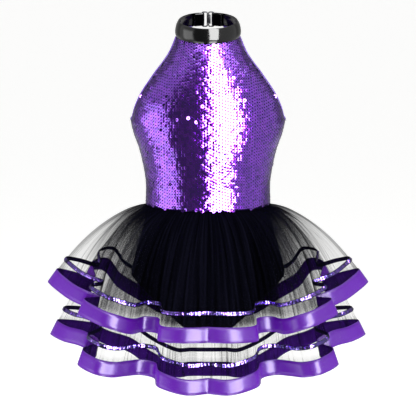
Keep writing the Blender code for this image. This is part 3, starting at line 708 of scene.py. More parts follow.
def satin(name, hexColour, roughness, sheen, gloss, sheenColour):
    # Polyester satin ribbon: long floats of filament yarn along its length, so a broad soft shine that
    # runs across the folds. The floats are drawn 0.5 mm wide, coarser than the real 0.1 mm.
    material, tree, shader = startMaterial(name, hexColour, Sheen_Weight=sheen, Sheen_Roughness=0.35,
                                           Anisotropic=0.5, Specular_IOR_Level=gloss)
    shader.inputs["Sheen Tint"].default_value = toLinear(sheenColour)
    place = addNode(tree, "ShaderNodeUVMap", uv_map="cloth").outputs[0]
    floats = addNode(tree, "ShaderNodeMapping", {"Vector": place, "Scale": (160.0, 2000.0, 1.0)})
    yarn = addNode(tree, "ShaderNodeTexNoise", {"Vector": floats.outputs[0], "Scale": 1.0, "Detail": 2.0})
    wave = addNode(tree, "ShaderNodeTexNoise", {"Vector": place, "Scale": 45.0, "Detail": 2.0})
    yarnBump = addNode(tree, "ShaderNodeBump", {
        "Height": yarn.outputs[0], "Strength": 0.2, "Distance": 0.0001})
    bump = addNode(tree, "ShaderNodeBump", {"Height": wave.outputs[0], "Strength": 0.25, "Distance": 0.0015,
                                            "Normal": yarnBump.outputs[0]})
    tree.links.new(bump.outputs[0], shader.inputs["Normal"])
    rough = addNode(tree, "ShaderNodeMapRange", {
        "Value": yarn.outputs[0], 3: roughness - 0.06, 4: roughness + 0.08})
    tree.links.new(rough.outputs[0], shader.inputs["Roughness"])
    return material


def thread(name, hexColour):
    # Spun polyester sewing thread: matt, with a slight twist in its shade.
    material, tree, shader = startMaterial(name, hexColour, Sheen_Weight=0.2)
    place = addNode(tree, "ShaderNodeTexCoord").outputs["Object"]
    twist = addNode(tree, "ShaderNodeTexNoise", {"Vector": place, "Scale": 1500.0, "Detail": 1.0})
    rough = addNode(tree, "ShaderNodeMapRange", {"Value": twist.outputs[0], 3: 0.6, 4: 0.85})
    tree.links.new(rough.outputs[0], shader.inputs["Roughness"])
    return material


def blackTulle():
    # Nylon tulle, black: a net of 0.1 mm yarn, nearly clear where it lies single and flat and darker
    # where it is gathered. One flat layer stops about a thirteenth of the light. The attribute fullness
    # says how many layers' worth of net the gathering packs together.
    material, tree, shader = startMaterial("nylon tulle, black", "#030306", Roughness=0.75,
                                           Specular_IOR_Level=0.0)
    place = addNode(tree, "ShaderNodeUVMap", uv_map="cloth").outputs[0]
    fullness = addNode(tree, "ShaderNodeAttribute", attribute_name="fullness").outputs["Fac"]
    pleats = addNode(tree, "ShaderNodeMapping", {"Vector": place, "Scale": (150.0, 4.0, 1.0)})
    streaks = addNode(tree, "ShaderNodeTexNoise", {"Vector": pleats.outputs[0], "Scale": 1.0, "Detail": 2.0})
    streak = addNode(tree, "ShaderNodeMapRange", {
        "Value": streaks.outputs[0], 1: 0.3, 2: 0.75, 3: 0.55, 4: 1.6})
    layers = addNode(tree, "ShaderNodeMath", {0: fullness, 1: streak.outputs[0]}, operation="MULTIPLY")
    # painted sheen: where the streaks pack the net, its colour is drawn lighter, as if those folds caught the
    # light
    foldSheen = colourRamp(tree, streaks.outputs[0], [(0.35, "#020204"), (0.7, "#10101c")])
    tree.links.new(foldSheen, shader.inputs["Base Color"])
    # sharp folds run down the net as thin dark lines
    length = addNode(tree, "ShaderNodeMapping", {"Vector": place, "Scale": (42.0, 2.2, 1.0)})
    folds = addNode(tree, "ShaderNodeTexNoise", {"Vector": length.outputs[0], "Scale": 1.0, "Detail": 1.0})
    aside = addNode(tree, "ShaderNodeMath", {0: folds.outputs[0], 1: 0.5}, operation="SUBTRACT")
    near = addNode(tree, "ShaderNodeMath", {0: aside.outputs[0]}, operation="ABSOLUTE")
    line = addNode(tree, "ShaderNodeMapRange", {"Value": near.outputs[0], 1: 0.0, 2: 0.016, 3: 7.0, 4: 0.0})
    packed = addNode(tree, "ShaderNodeMath", {0: layers.outputs[0], 1: line.outputs[0]}, operation="ADD")
    # the net itself, drawn as 2.2 mm holes so that it just shows close to
    holes = addNode(tree, "ShaderNodeTexVoronoi", {"Vector": place, "Scale": 450.0, "Randomness": 0.25},
                    feature="DISTANCE_TO_EDGE")
    yarn = addNode(tree, "ShaderNodeMapRange", {
        "Value": holes.outputs["Distance"], 1: 0.0, 2: 0.25, 3: 1.7, 4: 0.75})
    net = addNode(tree, "ShaderNodeMath", {0: packed.outputs[0], 1: yarn.outputs[0]}, operation="MULTIPLY")
    through = addNode(tree, "ShaderNodeMath", {0: 0.925, 1: net.outputs[0]}, operation="POWER")
    stopped = addNode(tree, "ShaderNodeMath", {0: 1.0, 1: through.outputs[0]}, operation="SUBTRACT",
                      use_clamp=True)
    tree.links.new(stopped.outputs[0], shader.inputs["Alpha"])
    return material


purpleSequins = sequinFilm("metallised PET sequin film, purple", "#6610be", "#7c14d6", "#922aea")
darkSequins = sequinFilm("metallised PET sequin film, deep purple", "#300a80", "#4c14a8", "#8a50dc")
sequinGround = knit("purple stretch mesh under the sequins", "#10042e", 1.0, 0.6, 0.0, "#5a35a0", 0.05)
purpleJersey = knit("nylon tricot, purple", "#4a1f9c", 1.1, 0.45, 0.5, "#b79ae8")
purpleBinding = knit("folded tricot binding, purple", "#7a48cc", 0.9, 0.4, 0.6, "#c9b2f0")
blackJersey = knit("nylon tricot, black", "#040406", 1.1, 0.75, 0.05, "#2a2a34", 0.03)
patent = patentLeather()
# the fabric back of the patent cloth: black brushed knit
knitBack = knit("black knit backing", "#0d0d10", 1.0, 0.85, 0.2, "#55555a")
nickel = nickelWire()
tulle = blackTulle()
ribbonFace = satin("polyester satin ribbon, purple", "#620cac", 0.24, 0.14, 0.55, "#e2c6ee")
# the matt back of the same ribbon; its purple is drawn darker than the face's as painted shade for the inside
# of the skirt
ribbonBackShaded = satin("matt back of the satin ribbon, with painted shade", "#46088c", 0.6, 0.05, 0.1, "#8a6ac8")
purpleThread = thread("polyester thread, purple", "#4c2496")
blackThread = thread("polyester thread, black", "#101012")
print("materials are ready")


def finishPiece(piece, slot, *nodes):
    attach(piece, "root")
    if nodes:
        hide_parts(*nodes)
    return piece


# Bodice front: a stretch ground with a sheet of sequins sewn on in strings

bodice = {
    "across": 80, "steps": 6, "frontCloth": 1.2, "backCloth": 1.2, "keyholeTop": 25.0, "edgeMargin": 1.6,
    "pitchAcross": 4.5, "pitchDown": 5.2, "seatHeight": 0.95, "strayLift": 1.0, "top": 5.6, "stringEnd": 1.5,
    # sizes in metres, angles in radians
    "sequin": {"Diameter": 0.0058, "Hole": 0.0024, "Cup": 0.0001, "Lean": -0.06, "Tip": 0.04,
               "Stray tip": 0.4, "Stray share": 0.012, "Seed": 5},
    # sequins that are lost, across and up, and some that stand away, with the way they face, round and up
    "lost": [(-48, -26), (-59, -42), (-74, -59), (-88, -80), (46, -26), (59, -42),
             (72, -59), (80, -69), (86, -80), (-22, -47), (-64, -109), (-69, -119)],
    "strays": [(40, -79, 12, 6), (57, -115, 12, 6), (-7, -124, 12, 6), (-31, -139, 12, 6),
               (-107, -107, 12, 6), (107, -107, 12, 6)],
    "backCreases": [(-88, -196, -30, -214, 5.0, 1.6), (92, -204, 26, -222, 6.0, 1.8),
                    (-95, -236, -22, -244, 5.0, 1.3), (84, -250, 34, -240, 4.5, 1.2),
                    (-70, -150, -98, -128, 4.0, 1.0), (74, -150, 100, -126, 4.0, 1.1),
                    (-20, -264, 40, -270, 4.0, 1.0), (-60, -70, -40, -44, 3.5, 0.9),
                    (58, -66, 44, -42, 3.5, 0.8)],
}


def shellFromGrid(name, grid, material, thickness):
    made = meshObject(name, grid.reshape(-1, 3), gridFaces(*grid.shape[:2]), [material],
                      gridUv(grid).reshape(-1, 2))
    return thicken(made, thickness)


def lineAtArc(grid, normals, distance):
    # The points that lie this far from the middle column along each row, where the row reaches so far.
    found = []
    centre = grid.shape[1] // 2
    for row, facing in zip(grid, normals):
        run = runOf(row)
        run = run - run[centre]
        if run[0] + bodice["edgeMargin"] > distance or run[-1] - bodice["edgeMargin"] < distance:
            found.append(None)
            continue
        found.append((pointAt(distance, run, row), pointAt(distance, run, facing)))
    return found


def sequinSeats(grid, normals):
    seats, facing = [], []
    reach = max(runOf(row)[-1] for row in grid) / 2
    count = int(reach / bodice["pitchAcross"])
    for string in range(-count, count + 1):
        line = lineAtArc(grid, normals, string * bodice["pitchAcross"])
        stretch = [entry for entry in line if entry]
        first = next((i for i, entry in enumerate(line) if entry), None)
        if first is None or len(stretch) < 3:
            continue
        points = np.array([entry[0] for entry in stretch])
        away = np.array([entry[1] for entry in stretch])
        run = runOf(points)
        start = (bodice["top"] if first == 0 else 0.0) + (string % 2) * bodice["pitchDown"] / 2
        # strings under the armholes keep in step with the long ones
        if first:
            start += (-grid[first, grid.shape[1] // 2, 2]) % bodice["pitchDown"]
        for place in np.arange(start, run[-1] - bodice["stringEnd"], bodice["pitchDown"]):
            seats.append(pointAt(place, run, points))
            facing.append(pointAt(place, run, away))
    seats, facing = np.array(seats), unit(np.array(facing))
    lift = np.full(len(seats), bodice["seatHeight"])
    for x, z, around, above in bodice["strays"]:
        nearest = np.argmin(np.hypot(seats[:, 0] - x, seats[:, 2] - z))
        around, above = math.radians(around), math.radians(above)
        facing[nearest] = (math.sin(around) * math.cos(above), -math.cos(around) * math.cos(above),
                           math.sin(above))
        lift[nearest] += bodice["strayLift"]
    lost = [np.argmin(np.hypot(seats[:, 0] - x, seats[:, 2] - z)) for x, z in bodice["lost"]]
    kept = np.setdiff1d(np.arange(len(seats)), lost)
    return (seats + facing * lift[:, None])[kept], facing[kept]


def makeBodiceFront():
    rows = [collarRow(-1, 0)] + frontRows + [waistRow(-1)]
    grid = panelGrid(rows, bodice["across"], -1, bodice["steps"])
    normals = gridNormals(grid)
    ground = shellFromGrid("bodiceFront", seamGap(grid), sequinGround, bodice["frontCloth"])
    finishPiece(ground, "stretch", "bodice_front")
    seats, facing = sequinSeats(grid, normals)
    sequins = sewSequins("bodiceSequins", seats, facing, purpleSequins, bodice["sequin"])
    finishPiece(sequins, "sequins")
    print("bodice front with", len(seats), "sequins")
    return ground, sequins, grid, normals


def makeBodiceBack():
    rows = [collarRow(1, bodice["keyholeTop"])] + backRows + [waistRow(1)]
    half = panelGrid(rows, bodice["across"] // 2, 1, bodice["steps"], half=True)
    normals = gridNormals(half)
    laid = seamGap(half, (0,))
    right = creased(laid, normals, bodice["backCreases"])
    left = creased(mirrorX(laid)[:, ::-1], mirrorX(normals)[:, ::-1], bodice["backCreases"])
    rowCount, columns = half.shape[:2]
    points = np.concatenate([right.reshape(-1, 3), left.reshape(-1, 3)])
    faces = gridFaces(rowCount, columns) + gridFaces(rowCount, columns, rowCount * columns)
    uv = np.concatenate([gridUv(part, middle=False).reshape(-1, 2) for part in (right, left)])
    back = meshObject("bodiceBack", points, faces, [purpleJersey], uv, merge=0.02)
    thicken(back, bodice["backCloth"])
    finishPiece(back, "stretch", "bodice_back")
    closing = next(i for i, row in enumerate(rows) if row[6] == 0) * bodice["steps"]
    print("bodice back")
    return back, half, normals, closing


# Bindings: a folded strip along each armhole and round the keyhole, with one row of stitches

binding = {
    "width": 4.5, "cloth": 2.4, "corner": 0.6, "sides": 14, "start": 7.3, "stitchIn": 0.9, "stitchRise": 0.92,
    "stitch": {"Pitch": 0.0026, "Length": 0.0021, "Thread": 0.00045},
}


def makeBinding(name, path, normals, node, mirrored=False):
    path = path.copy()
    for step in (1, -1):
        line = path[::step]
        run = runOf(line)
        line[run <= binding["start"]] = pointAt(binding["start"], run, line)
    keep = np.concatenate([[True], np.linalg.norm(np.diff(path, axis=0), axis=1) > 0.01])
    path, normals = path[keep], normals[keep]
    along = unit(np.gradient(path, axis=0))
    away = unit(np.cross(normals, along))
    if mirrored:
        path, normals, away = mirrorX(path), mirrorX(normals), mirrorX(away)
    profile = softRectangle(binding["width"], binding["cloth"], binding["corner"], binding["sides"])
    profile += [gap + binding["width"] / 2, 0.0]
    made = sweep(name, path, away, normals, profile, [purpleBinding])
    finishPiece(made, "binding", node)
    rise = binding["cloth"] / 2 * binding["stitchRise"]
    return made, path + away * (gap + binding["stitchIn"]) + normals * rise


def makeBindings(front, frontNormals, back, backNormals, closing):
    underArm = (1 + next(i for i, row in enumerate(frontRows) if row[1] == 0)) * bodice["steps"]
    backUnder = (1 + next(i for i, row in enumerate(backRows) if row[1] == 0)) * bodice["steps"]
    path = np.concatenate([front[:underArm + 1, -1], back[backUnder - 1::-1, 0]])
    normals = np.concatenate([frontNormals[:underArm + 1, -1], backNormals[backUnder - 1::-1, 0]])
    pieces, seams = [], []
    for name, node, mirrored in (("armholeBindingLeft", "armhole_binding_left", False),
                                 ("armholeBindingRight", "armhole_binding_right", True)):
        piece, seam = makeBinding(name, path, normals, node, mirrored)
        pieces.append(piece)
        seams.append(seam)
    side, sideNormals = back[:closing + 1, -1], backNormals[:closing + 1, -1]
    path = np.concatenate([side, mirrorX(side)[-2::-1]])
    normals = np.concatenate([sideNormals, mirrorX(sideNormals)[-2::-1]])
    piece, seam = makeBinding("keyholeBinding", path, normals, "keyhole_binding")
    pieces.append(piece)
    seams.append(seam)
    stitches = sewStitches("bindingStitches", seams, purpleThread, binding["stitch"])
    finishPiece(stitches, "binding")
    print("bindings")
    return pieces + [stitches]


frontPiece, sequinPiece, frontGrid, frontNormals = makeBodiceFront()
backPiece, backGrid, backNormals, closing = makeBodiceBack()
bindingPieces = makeBindings(frontGrid, frontNormals, backGrid, backNormals, closing)


# Skirt: two tiers of tulle, each with a satin ribbon on its hem and a line of sequins above it

upperHem = [
    (0, -186, -485), (44, -181, -485), (76, -160, -484), (78, -124, -477), (103, -114, -475),
    (122, -136, -476), (146, -153, -468), (173, -148, -459), (203, -114, -446), (174, -84, -447),
    (203, -72, -437), (227, -50, -427), (256, 0, -409), (232, 44, -418), (189, 60, -432),
    (199, 100, -408), (173, 140, -406), (150, 148, -434), (112, 122, -454), (78, 148, -478),
    (42, 170, -488), (0, 176, -490),
]
lowerHem = [
    (0, -186, -565), (36, -184, -566), (76, -164, -556), (84, -126, -547), (108, -117, -543),
    (131, -130, -543), (153, -144, -543), (180, -146, -537), (204, -112, -526), (176, -84, -518),
    (201, -70, -504), (231, -44, -499), (252, 0, -493), (227, 45, -499), (186, 62, -507),
    (199, 100, -507), (170, 138, -528), (132, 142, -541), (98, 112, -560), (56, 122, -580),
    (30, 152, -583), (0, 160, -584),
]

# dents are a soft hollow and a sharper crease in the middle of the front, as (depth, width)
skirt = {
    "sideFold": 12, "dents": [(9.5, 33.0), (3.5, 9.0)], "knotSteps": 24, "foldStart": 0.35,
    "foldWindow": 0.05, "columnSteps": 80, "pleatStart": 0.16, "pleatHold": 0.35,
    "ribbonWidth": 25.0, "trimAbove": 43.0, "trimWidth": 7.0, "tulle": 1.0, "ribbonCloth": 0.6,
    "ribbonWave": 0.35, "ribbonWaves": 90, "tapeCloth": 0.4, "trimPitch": 3.4, "trimLift": 0.9,
    "seamIn": 0.06, "seamLift": 0.3,
    # layers of net: gathered at the waist, how fast they thin downwards, between which places they thin
    # at the sides, behind the ribbon, and where the net is drawn together or folds inwards
    "waistLayers": 48.0, "waistFade": 0.2, "middleShare": 1.2, "sideShare": 0.4, "thinFrom": 176.0,
    "thinTo": 196.0, "hemLayers": 4.5, "mostSpread": 3.0, "spreadWindow": 9, "foldFrom": -2.0,
    "foldTo": 9.0, "foldFade": 1.15,
    # sizes in metres, angles in radians
    "trimSequin": {"Diameter": 0.0056, "Hole": 0.0014, "Cup": 0.0004, "Lean": 0.1, "Tip": 0.16,
                   "Stray tip": 0.7, "Stray share": 0.15},
    "stitch": {"Pitch": 0.0032, "Length": 0.0025, "Thread": 0.0004},
}
ribbonRows, trimRows = slice(-5, None), slice(-9, -6)  # the rows of a tier's grid that they cover

# frontSteps and backSteps are a quarter of the ring each; seat and drop say how far inside and below
# the bodice's edge the gathered top is; a column first aims flareOut of the way out and flareDown of
# it down; pleats are rows of fine gathers as (how many round, depth, how far down they fade out);
# panels are where more layers lie, as (from, to, layers, front -1 or back 1), across from the middle
upperTier = {
    "name": "upper", "hem": upperHem, "frontSteps": 168, "backSteps": 120, "seat": -0.1, "drop": 0.9,
    "flareOut": 0.6, "flareDown": 0.16, "gathers": 24, "gatherHeight": 2.4,
    "gatherFade": [(0.0, 0.0), (0.07, 0.55), (0.17, 1.0), (0.34, 0.8), (0.55, 0.5), (0.78, 0.25), (1.0, 0.0)],
    "pleats": [(120, 1.3, 0.75), (64, 1.8, 1.0)], "seed": 11, "rows": 34,
    "foldLayers": 8.0, "panels": [(0, 73, 24.0, -1), (73, 121, 19.0, -1), (121, 180, 9.0, -1),
                                  (0, 118, 12.0, 1), (118, 190, 3.0, 1), (251, 260, 7.0, -1)],
}
lowerTier = {
    "name": "lower", "hem": lowerHem, "frontSteps": 144, "backSteps": 108, "seat": -0.6, "drop": 2.8,
    "flareOut": 0.52, "flareDown": 0.2, "gathers": 0, "gatherHeight": 0.0,
    "gatherFade": [(0.0, 0.0), (1.0, 0.0)],
    "pleats": [(110, 1.0, 0.8), (58, 1.6, 1.0)], "seed": 23, "rows": 38,
    "foldLayers": 3.0, "panels": [(20, 73, 2.0, -1)],
}


def hemRing(tier):
    knots = np.array(tier["hem"], float)
    fine = smoothLine(np.concatenate([knots, mirrorX(knots)[-2:0:-1]]), skirt["knotSteps"], closed=True)
    for depth, width in skirt["dents"]:
        fine[:, 1] += (fine[:, 1] < 0) * depth * np.exp(-(fine[:, 0] / width) ** 2)
    side, back = skirt["sideFold"] * skirt["knotSteps"], (len(knots) - 1) * skirt["knotSteps"]
    half = np.concatenate([evenly(fine[:side + 1], tier["frontSteps"]),
                           evenly(fine[side:back + 1], tier["backSteps"])[1:]])
    return np.concatenate([half, mirrorX(half)[-2:0:-1]])


def waistRing(tier):
    out = 1 + tier["seat"] / waist["halfWidth"]
    half = []
    for steps, depth, middle, side in ((tier["frontSteps"], waist["frontDepth"], waist["front"], -1),
                                       (tier["backSteps"], waist["backDepth"], waist["back"], 1)):
        turn = math.pi / 2 * np.arange(steps) / steps
        turn = turn if side < 0 else math.pi / 2 - turn
        level = waist["side"] - tier["drop"] + (middle - waist["side"]) * np.cos(turn)
        half.append(np.stack([waist["halfWidth"] * out * np.sin(turn), side * depth * out * np.cos(turn),
                              level], axis=1))
    half.append([(0.0, waist["backDepth"] + tier["seat"], waist["back"] - tier["drop"])])
    half = np.concatenate(half)
    return np.concatenate([half, mirrorX(half)[-2:0:-1]])


def tierGrid(tier):
    # Columns run from the waist to the hem. The last rows are the trim's and the ribbon's edges.
    hem, top = hemRing(tier), waistRing(tier)
    columns = len(hem)
    soft = softened(hem, round(columns * skirt["foldWindow"]))
    aim = soft * (1 - skirt["foldStart"]) + hem * skirt["foldStart"] - top
    aim = top + aim * [tier["flareOut"], tier["flareOut"], tier["flareDown"]]
    t = np.linspace(0, 1, skirt["columnSteps"] + 1)[:, None, None]
    lines = top * (1 - t) ** 2 + aim * 2 * t * (1 - t) + hem * t ** 2
    marks = [skirt["trimAbove"] + skirt["trimWidth"] * part for part in (1, 0.5, 0)]
    marks += [(skirt["trimAbove"] + skirt["ribbonWidth"]) / 2]
    marks += [skirt["ribbonWidth"] * part for part in (1, 0.75, 0.5, 0.25, 0)]
    upper = tier["rows"]
    grid = np.zeros((upper + len(marks), columns, 3))
    down = np.zeros(grid.shape[:2])
    for column in range(columns):
        line = lines[:, column]
        run = runOf(line)
        free = run[-1] - marks[0]
        stops = np.concatenate([np.linspace(0, free, upper + 1)[:-1], run[-1] - np.array(marks)])
        down[:, column] = stops / free
        grid[:, column] = pointAt(stops, run, line).T
    ring = np.concatenate([grid, grid[:, :1]], axis=1)
    return ring, np.concatenate([down, down[:, :1]], axis=1)


def pleated(tier, ring, down):
    # Gathers as in the model, then finer and less even pleats that the net falls into.
    normals = ringNormals(ring)
    places = np.linspace(0, 1, ring.shape[1])
    fades, heights = np.array(tier["gatherFade"]).T
    gathers = np.cos(2 * math.pi * tier["gathers"] * places)
    moved = tier["gatherHeight"] * np.interp(down, fades, heights) * gathers
    generator = np.random.default_rng(tier["seed"])
    for count, depth, end in tier["pleats"]:
        wave = softNoise(generator, count, places)
        fade = eased(down, 0.0, skirt["pleatStart"]) * (1 - eased(down, skirt["pleatHold"] * end, end))
        moved = moved + depth * wave * fade
    return ring + normals * moved[..., None]


def packing(tier, ring, down):
    # How many layers of flat net lie over each other: the cut is as wide all the way up as at the hem.
    spread = softened(np.linalg.norm(np.diff(ring, axis=1), axis=2), skirt["spreadWindow"], axis=1)
    full = np.clip(spread[-1] / np.maximum(spread, 0.05), 1.0, skirt["mostSpread"])
    hem = ring[-1, :-1]
    thin = eased(abs(hem[:, 0]), skirt["thinFrom"], skirt["thinTo"])
    inner = skirt["middleShare"] * (1 - thin) + skirt["sideShare"] * thin
    full = full + skirt["waistLayers"] * inner * np.exp(-down[:, :-1] / skirt["waistFade"])
    # folds turned inwards hold several layers, and so does the middle panel, front and back
    soft = softened(hem, round(len(hem) * skirt["foldWindow"]))
    inwards = np.linalg.norm(soft[:, :2], axis=1) - np.linalg.norm(hem[:, :2], axis=1)
    inwards = eased(inwards, skirt["foldFrom"], skirt["foldTo"])
    full = full + tier["foldLayers"] * inwards * (skirt["foldFade"] - down[:, :-1])
    for near, far, layers, side in tier["panels"]:
        inside = (abs(hem[:, 0]) >= near) & (abs(hem[:, 0]) < far) & (hem[:, 1] * side > 0)
        full = full + layers * inside
    full = np.concatenate([full, full[:, :1]], axis=1)
    full[ribbonRows] = skirt["hemLayers"]  # the hem is turned and sewn behind the ribbon
    return full


def makeTulle(tier, ring, full):
    columns = ring.shape[1] - 1
    quarter = tier["frontSteps"]
    hem = runOf(ring[-1])
    drop = np.cumsum(np.linalg.norm(np.diff(ring, axis=0, prepend=ring[:1]), axis=2).mean(axis=1))
    made = []
    for name, chosen in (("Front", list(range(columns - quarter, columns)) + list(range(quarter + 1))),
                         ("Back", list(range(quarter, columns - quarter + 1)))):
        grid = seamGap(ring[:, chosen])
        uv = np.stack(np.broadcast_arrays(hem[chosen][None], drop[:, None]), axis=-1)
        if name == "Front":
            uv[:, :quarter, 0] -= hem[-1]
        piece = meshObject(tier["name"] + "Tulle" + name, grid.reshape(-1, 3), gridFaces(*grid.shape[:2]),
                           [tulle], uv.reshape(-1, 2))
        fullness = piece.data.attributes.new("fullness", "FLOAT", "POINT")
        fullness.data.foreach_set("value", full[:, chosen].astype(np.float32).ravel())
        finishPiece(piece, "tulle", tier["name"] + "_tulle_" + name.lower())
        made.append(piece)
    return made


def bandOn(tier, ring, rows, name, low, cloth, materials, slot, node, wave=0.0):
    # A band lies on the outside of the net, over these rows.
    normals = ringNormals(ring)[rows]
    places = np.linspace(0, 1, ring.shape[1])
    generator = np.random.default_rng(tier["seed"] + 50)
    ripple = wave * softNoise(generator, skirt["ribbonWaves"], places)
    middle = low + cloth / 2
    grid = ring[rows] + normals * (middle + ripple)[..., None]
    columns = grid.shape[1]
    hem = runOf(grid[-1])
    across = np.cumsum(np.linalg.norm(np.diff(grid, axis=0, prepend=grid[:1]), axis=2).mean(axis=1))
    uv = np.stack(np.broadcast_arrays(hem[None], across[:, None]), axis=-1).reshape(-1, 2)
    piece = meshObject(name, grid.reshape(-1, 3), gridFaces(len(grid), columns), materials, uv, merge=0.01)
    thicken(piece, cloth, inner=len(materials) - 1)
    finishPiece(piece, slot, node)
    return piece, grid, normals


def makeTier(tier):
    ring, down = tierGrid(tier)
    full = packing(tier, ring, down)
    ring = pleated(tier, ring, down)
    nets = makeTulle(tier, ring, full)
    low = skirt["tulle"] / 2 + gap
    name = tier["name"]
    # the ribbon's inner side takes the darker back material, which is painted shade
    ribbon, ribbonGrid, ribbonNormals = bandOn(
        tier, ring, ribbonRows, name + "Ribbon", low, skirt["ribbonCloth"], [ribbonFace, ribbonBackShaded],
        "satin", name + "_ribbon", skirt["ribbonWave"])
    tape, tapeGrid, tapeNormals = bandOn(
        tier, ring, trimRows, name + "TrimTape", low - skirt["tapeCloth"] / 2, skirt["tapeCloth"],
        [sequinGround], "trim", name + "_sequin_trim")
    line, away = (tapeGrid[0] + tapeGrid[-1]) / 2, (tapeNormals[0] + tapeNormals[-1]) / 2
    run = runOf(line)
    count = int(run[-1] / skirt["trimPitch"])
    seats, facing = [], []
    for place in np.arange(count) * run[-1] / count:
        out = unit(pointAt(place, run, away))
        seats.append(pointAt(place, run, line) + out * skirt["trimLift"])
        facing.append(out)
    sequins = sewSequins(name + "TrimSequins", seats, facing, darkSequins,
                         {**skirt["trimSequin"], "Seed": tier["seed"]})
    finishPiece(sequins, "trim")
    seam = (ribbonGrid[0] * (1 - skirt["seamIn"]) + ribbonGrid[1] * skirt["seamIn"]
            + ribbonNormals[0] * skirt["seamLift"])
    stitches = sewStitches(name + "RibbonStitches", [seam], purpleThread, skirt["stitch"])
    finishPiece(stitches, "satin")
    print(name, "tier with", len(seats), "trim sequins")
    return {"nets": nets, "ribbon": ribbon, "tape": tape, "sequins": sequins, "stitches": stitches}


upper = makeTier(upperTier)
lower = makeTier(lowerTier)


# Brief, in two halves that meet at the sides and at the gusset

brief = {
    "across": 60, "steps": 5, "cloth": 1.2, "legRow": 4, "hemIn": 7.0, "stitchRise": 0.55,
    "stitch": {"Pitch": 0.003, "Length": 0.0024, "Thread": 0.0004},
    "frontCreases": [(-30, -452, -92, -404, 6.0, 1.6), (30, -450, 96, -398, 7.0, 1.8),
                     (-12, -470, -64, -438, 4.0, 1.2), (14, -472, 66, -440, 4.0, 1.2),
                     (-80, -330, -40, -340, 6.0, 1.0)],
    "backCreases": [(-34, -462, -98, -410, 7.0, 1.9), (36, -458, 104, -406, 6.0, 1.7),
                    (0, -478, 0, -430, 4.0, 1.4), (-90, -350, -30, -362, 7.0, 1.2),
                    (28, -376, 84, -366, 6.0, 1.1)],
}


def makeBrief():
    made, seams = [], []
    for name, node, table, side, creases in (
            ("briefFront", "brief_front", briefFrontRows, -1, brief["frontCreases"]),
            ("briefBack", "brief_back", briefBackRows, 1, brief["backCreases"])):
        grid = panelGrid(table, brief["across"], side, brief["steps"])
        normals = gridNormals(grid)
        grid = creased(seamGap(grid), normals, creases)
        piece = shellFromGrid(name, grid, blackJersey, brief["cloth"])
        finishPiece(piece, "jersey", node)
        made.append(piece)
        leg = brief["legRow"] * brief["steps"]
        for step in (1, -1):
            line = []
            for row, facing in zip(grid[leg:, ::step], normals[leg:, ::step]):
                run = runOf(row)
                away = pointAt(brief["hemIn"], run, facing)
                line.append(pointAt(brief["hemIn"], run, row) + away * brief["cloth"] * brief["stitchRise"])
            seams.append(np.array(line))
    stitches = sewStitches("legStitches", seams, blackThread, brief["stitch"])
    finishPiece(stitches, "jersey")
    print("brief")
    return made, stitches


briefPieces, legStitches = makeBrief()


# Collar: a soft patent band whose ends loop round the clasp's outer bars

clasp = {
    "width": 10.0, "height": 26.0, "bar": 2.0, "round": 3.0, "cornerSteps": 8, "wireCorner": 0.55,
    "wireSides": 16, "face": 43.4, "hookHeight": 14.0, "hookPlate": 1.2, "hookClear": 0.4, "bend": 0.25,
}


def collarPath():
    # Plan of the band: (x, y, bulge, height), from the tail at one bar round the front to the other.
    bar = clasp["width"] + gap / 2 - clasp["bar"] / 2
    barDepth = clasp["face"] + clasp["bar"] / 2
    radius, wide, deep = collar["loopRadius"], collar["halfWidth"], collar["halfDepth"]

    def band(x):
        return deep * math.sqrt(1 - (x / wide) ** 2)

    half = []
    for step in range(collar["tailSteps"]):
        x = bar + collar["tail"] * (1 - step / collar["tailSteps"])
        bend = (band(x) - band(bar)) * collar["tailBend"]
        half.append((x, barDepth - radius + bend, 0.0, collar["loopHeight"]))
    for step in range(collar["loopSteps"] + 1):
        turn = -math.pi / 2 - math.pi * step / collar["loopSteps"]
        half.append((bar + radius * math.cos(turn), barDepth + radius * math.sin(turn), 0.0,
                     collar["loopHeight"]))
    first = math.asin((bar + collar["clearFrom"]) / wide)
    lift = barDepth + radius - band(bar)
    for step in range(collar["sideSteps"]):
        turn = first + (math.pi - first) * step / collar["sideSteps"]
        fade = float(eased(turn, first, collar["clearTo"]))
        half.append((wide * math.sin(turn), deep * math.cos(turn) + lift * (1 - fade), fade,
                     collar["loopHeight"] + (collar["height"] - collar["loopHeight"]) * fade))
    mirrored = [(-x, y, bulge, height) for x, y, bulge, height in half]
    return mirrored + [(0.0, -deep, 1.0, collar["height"])] + half[::-1]


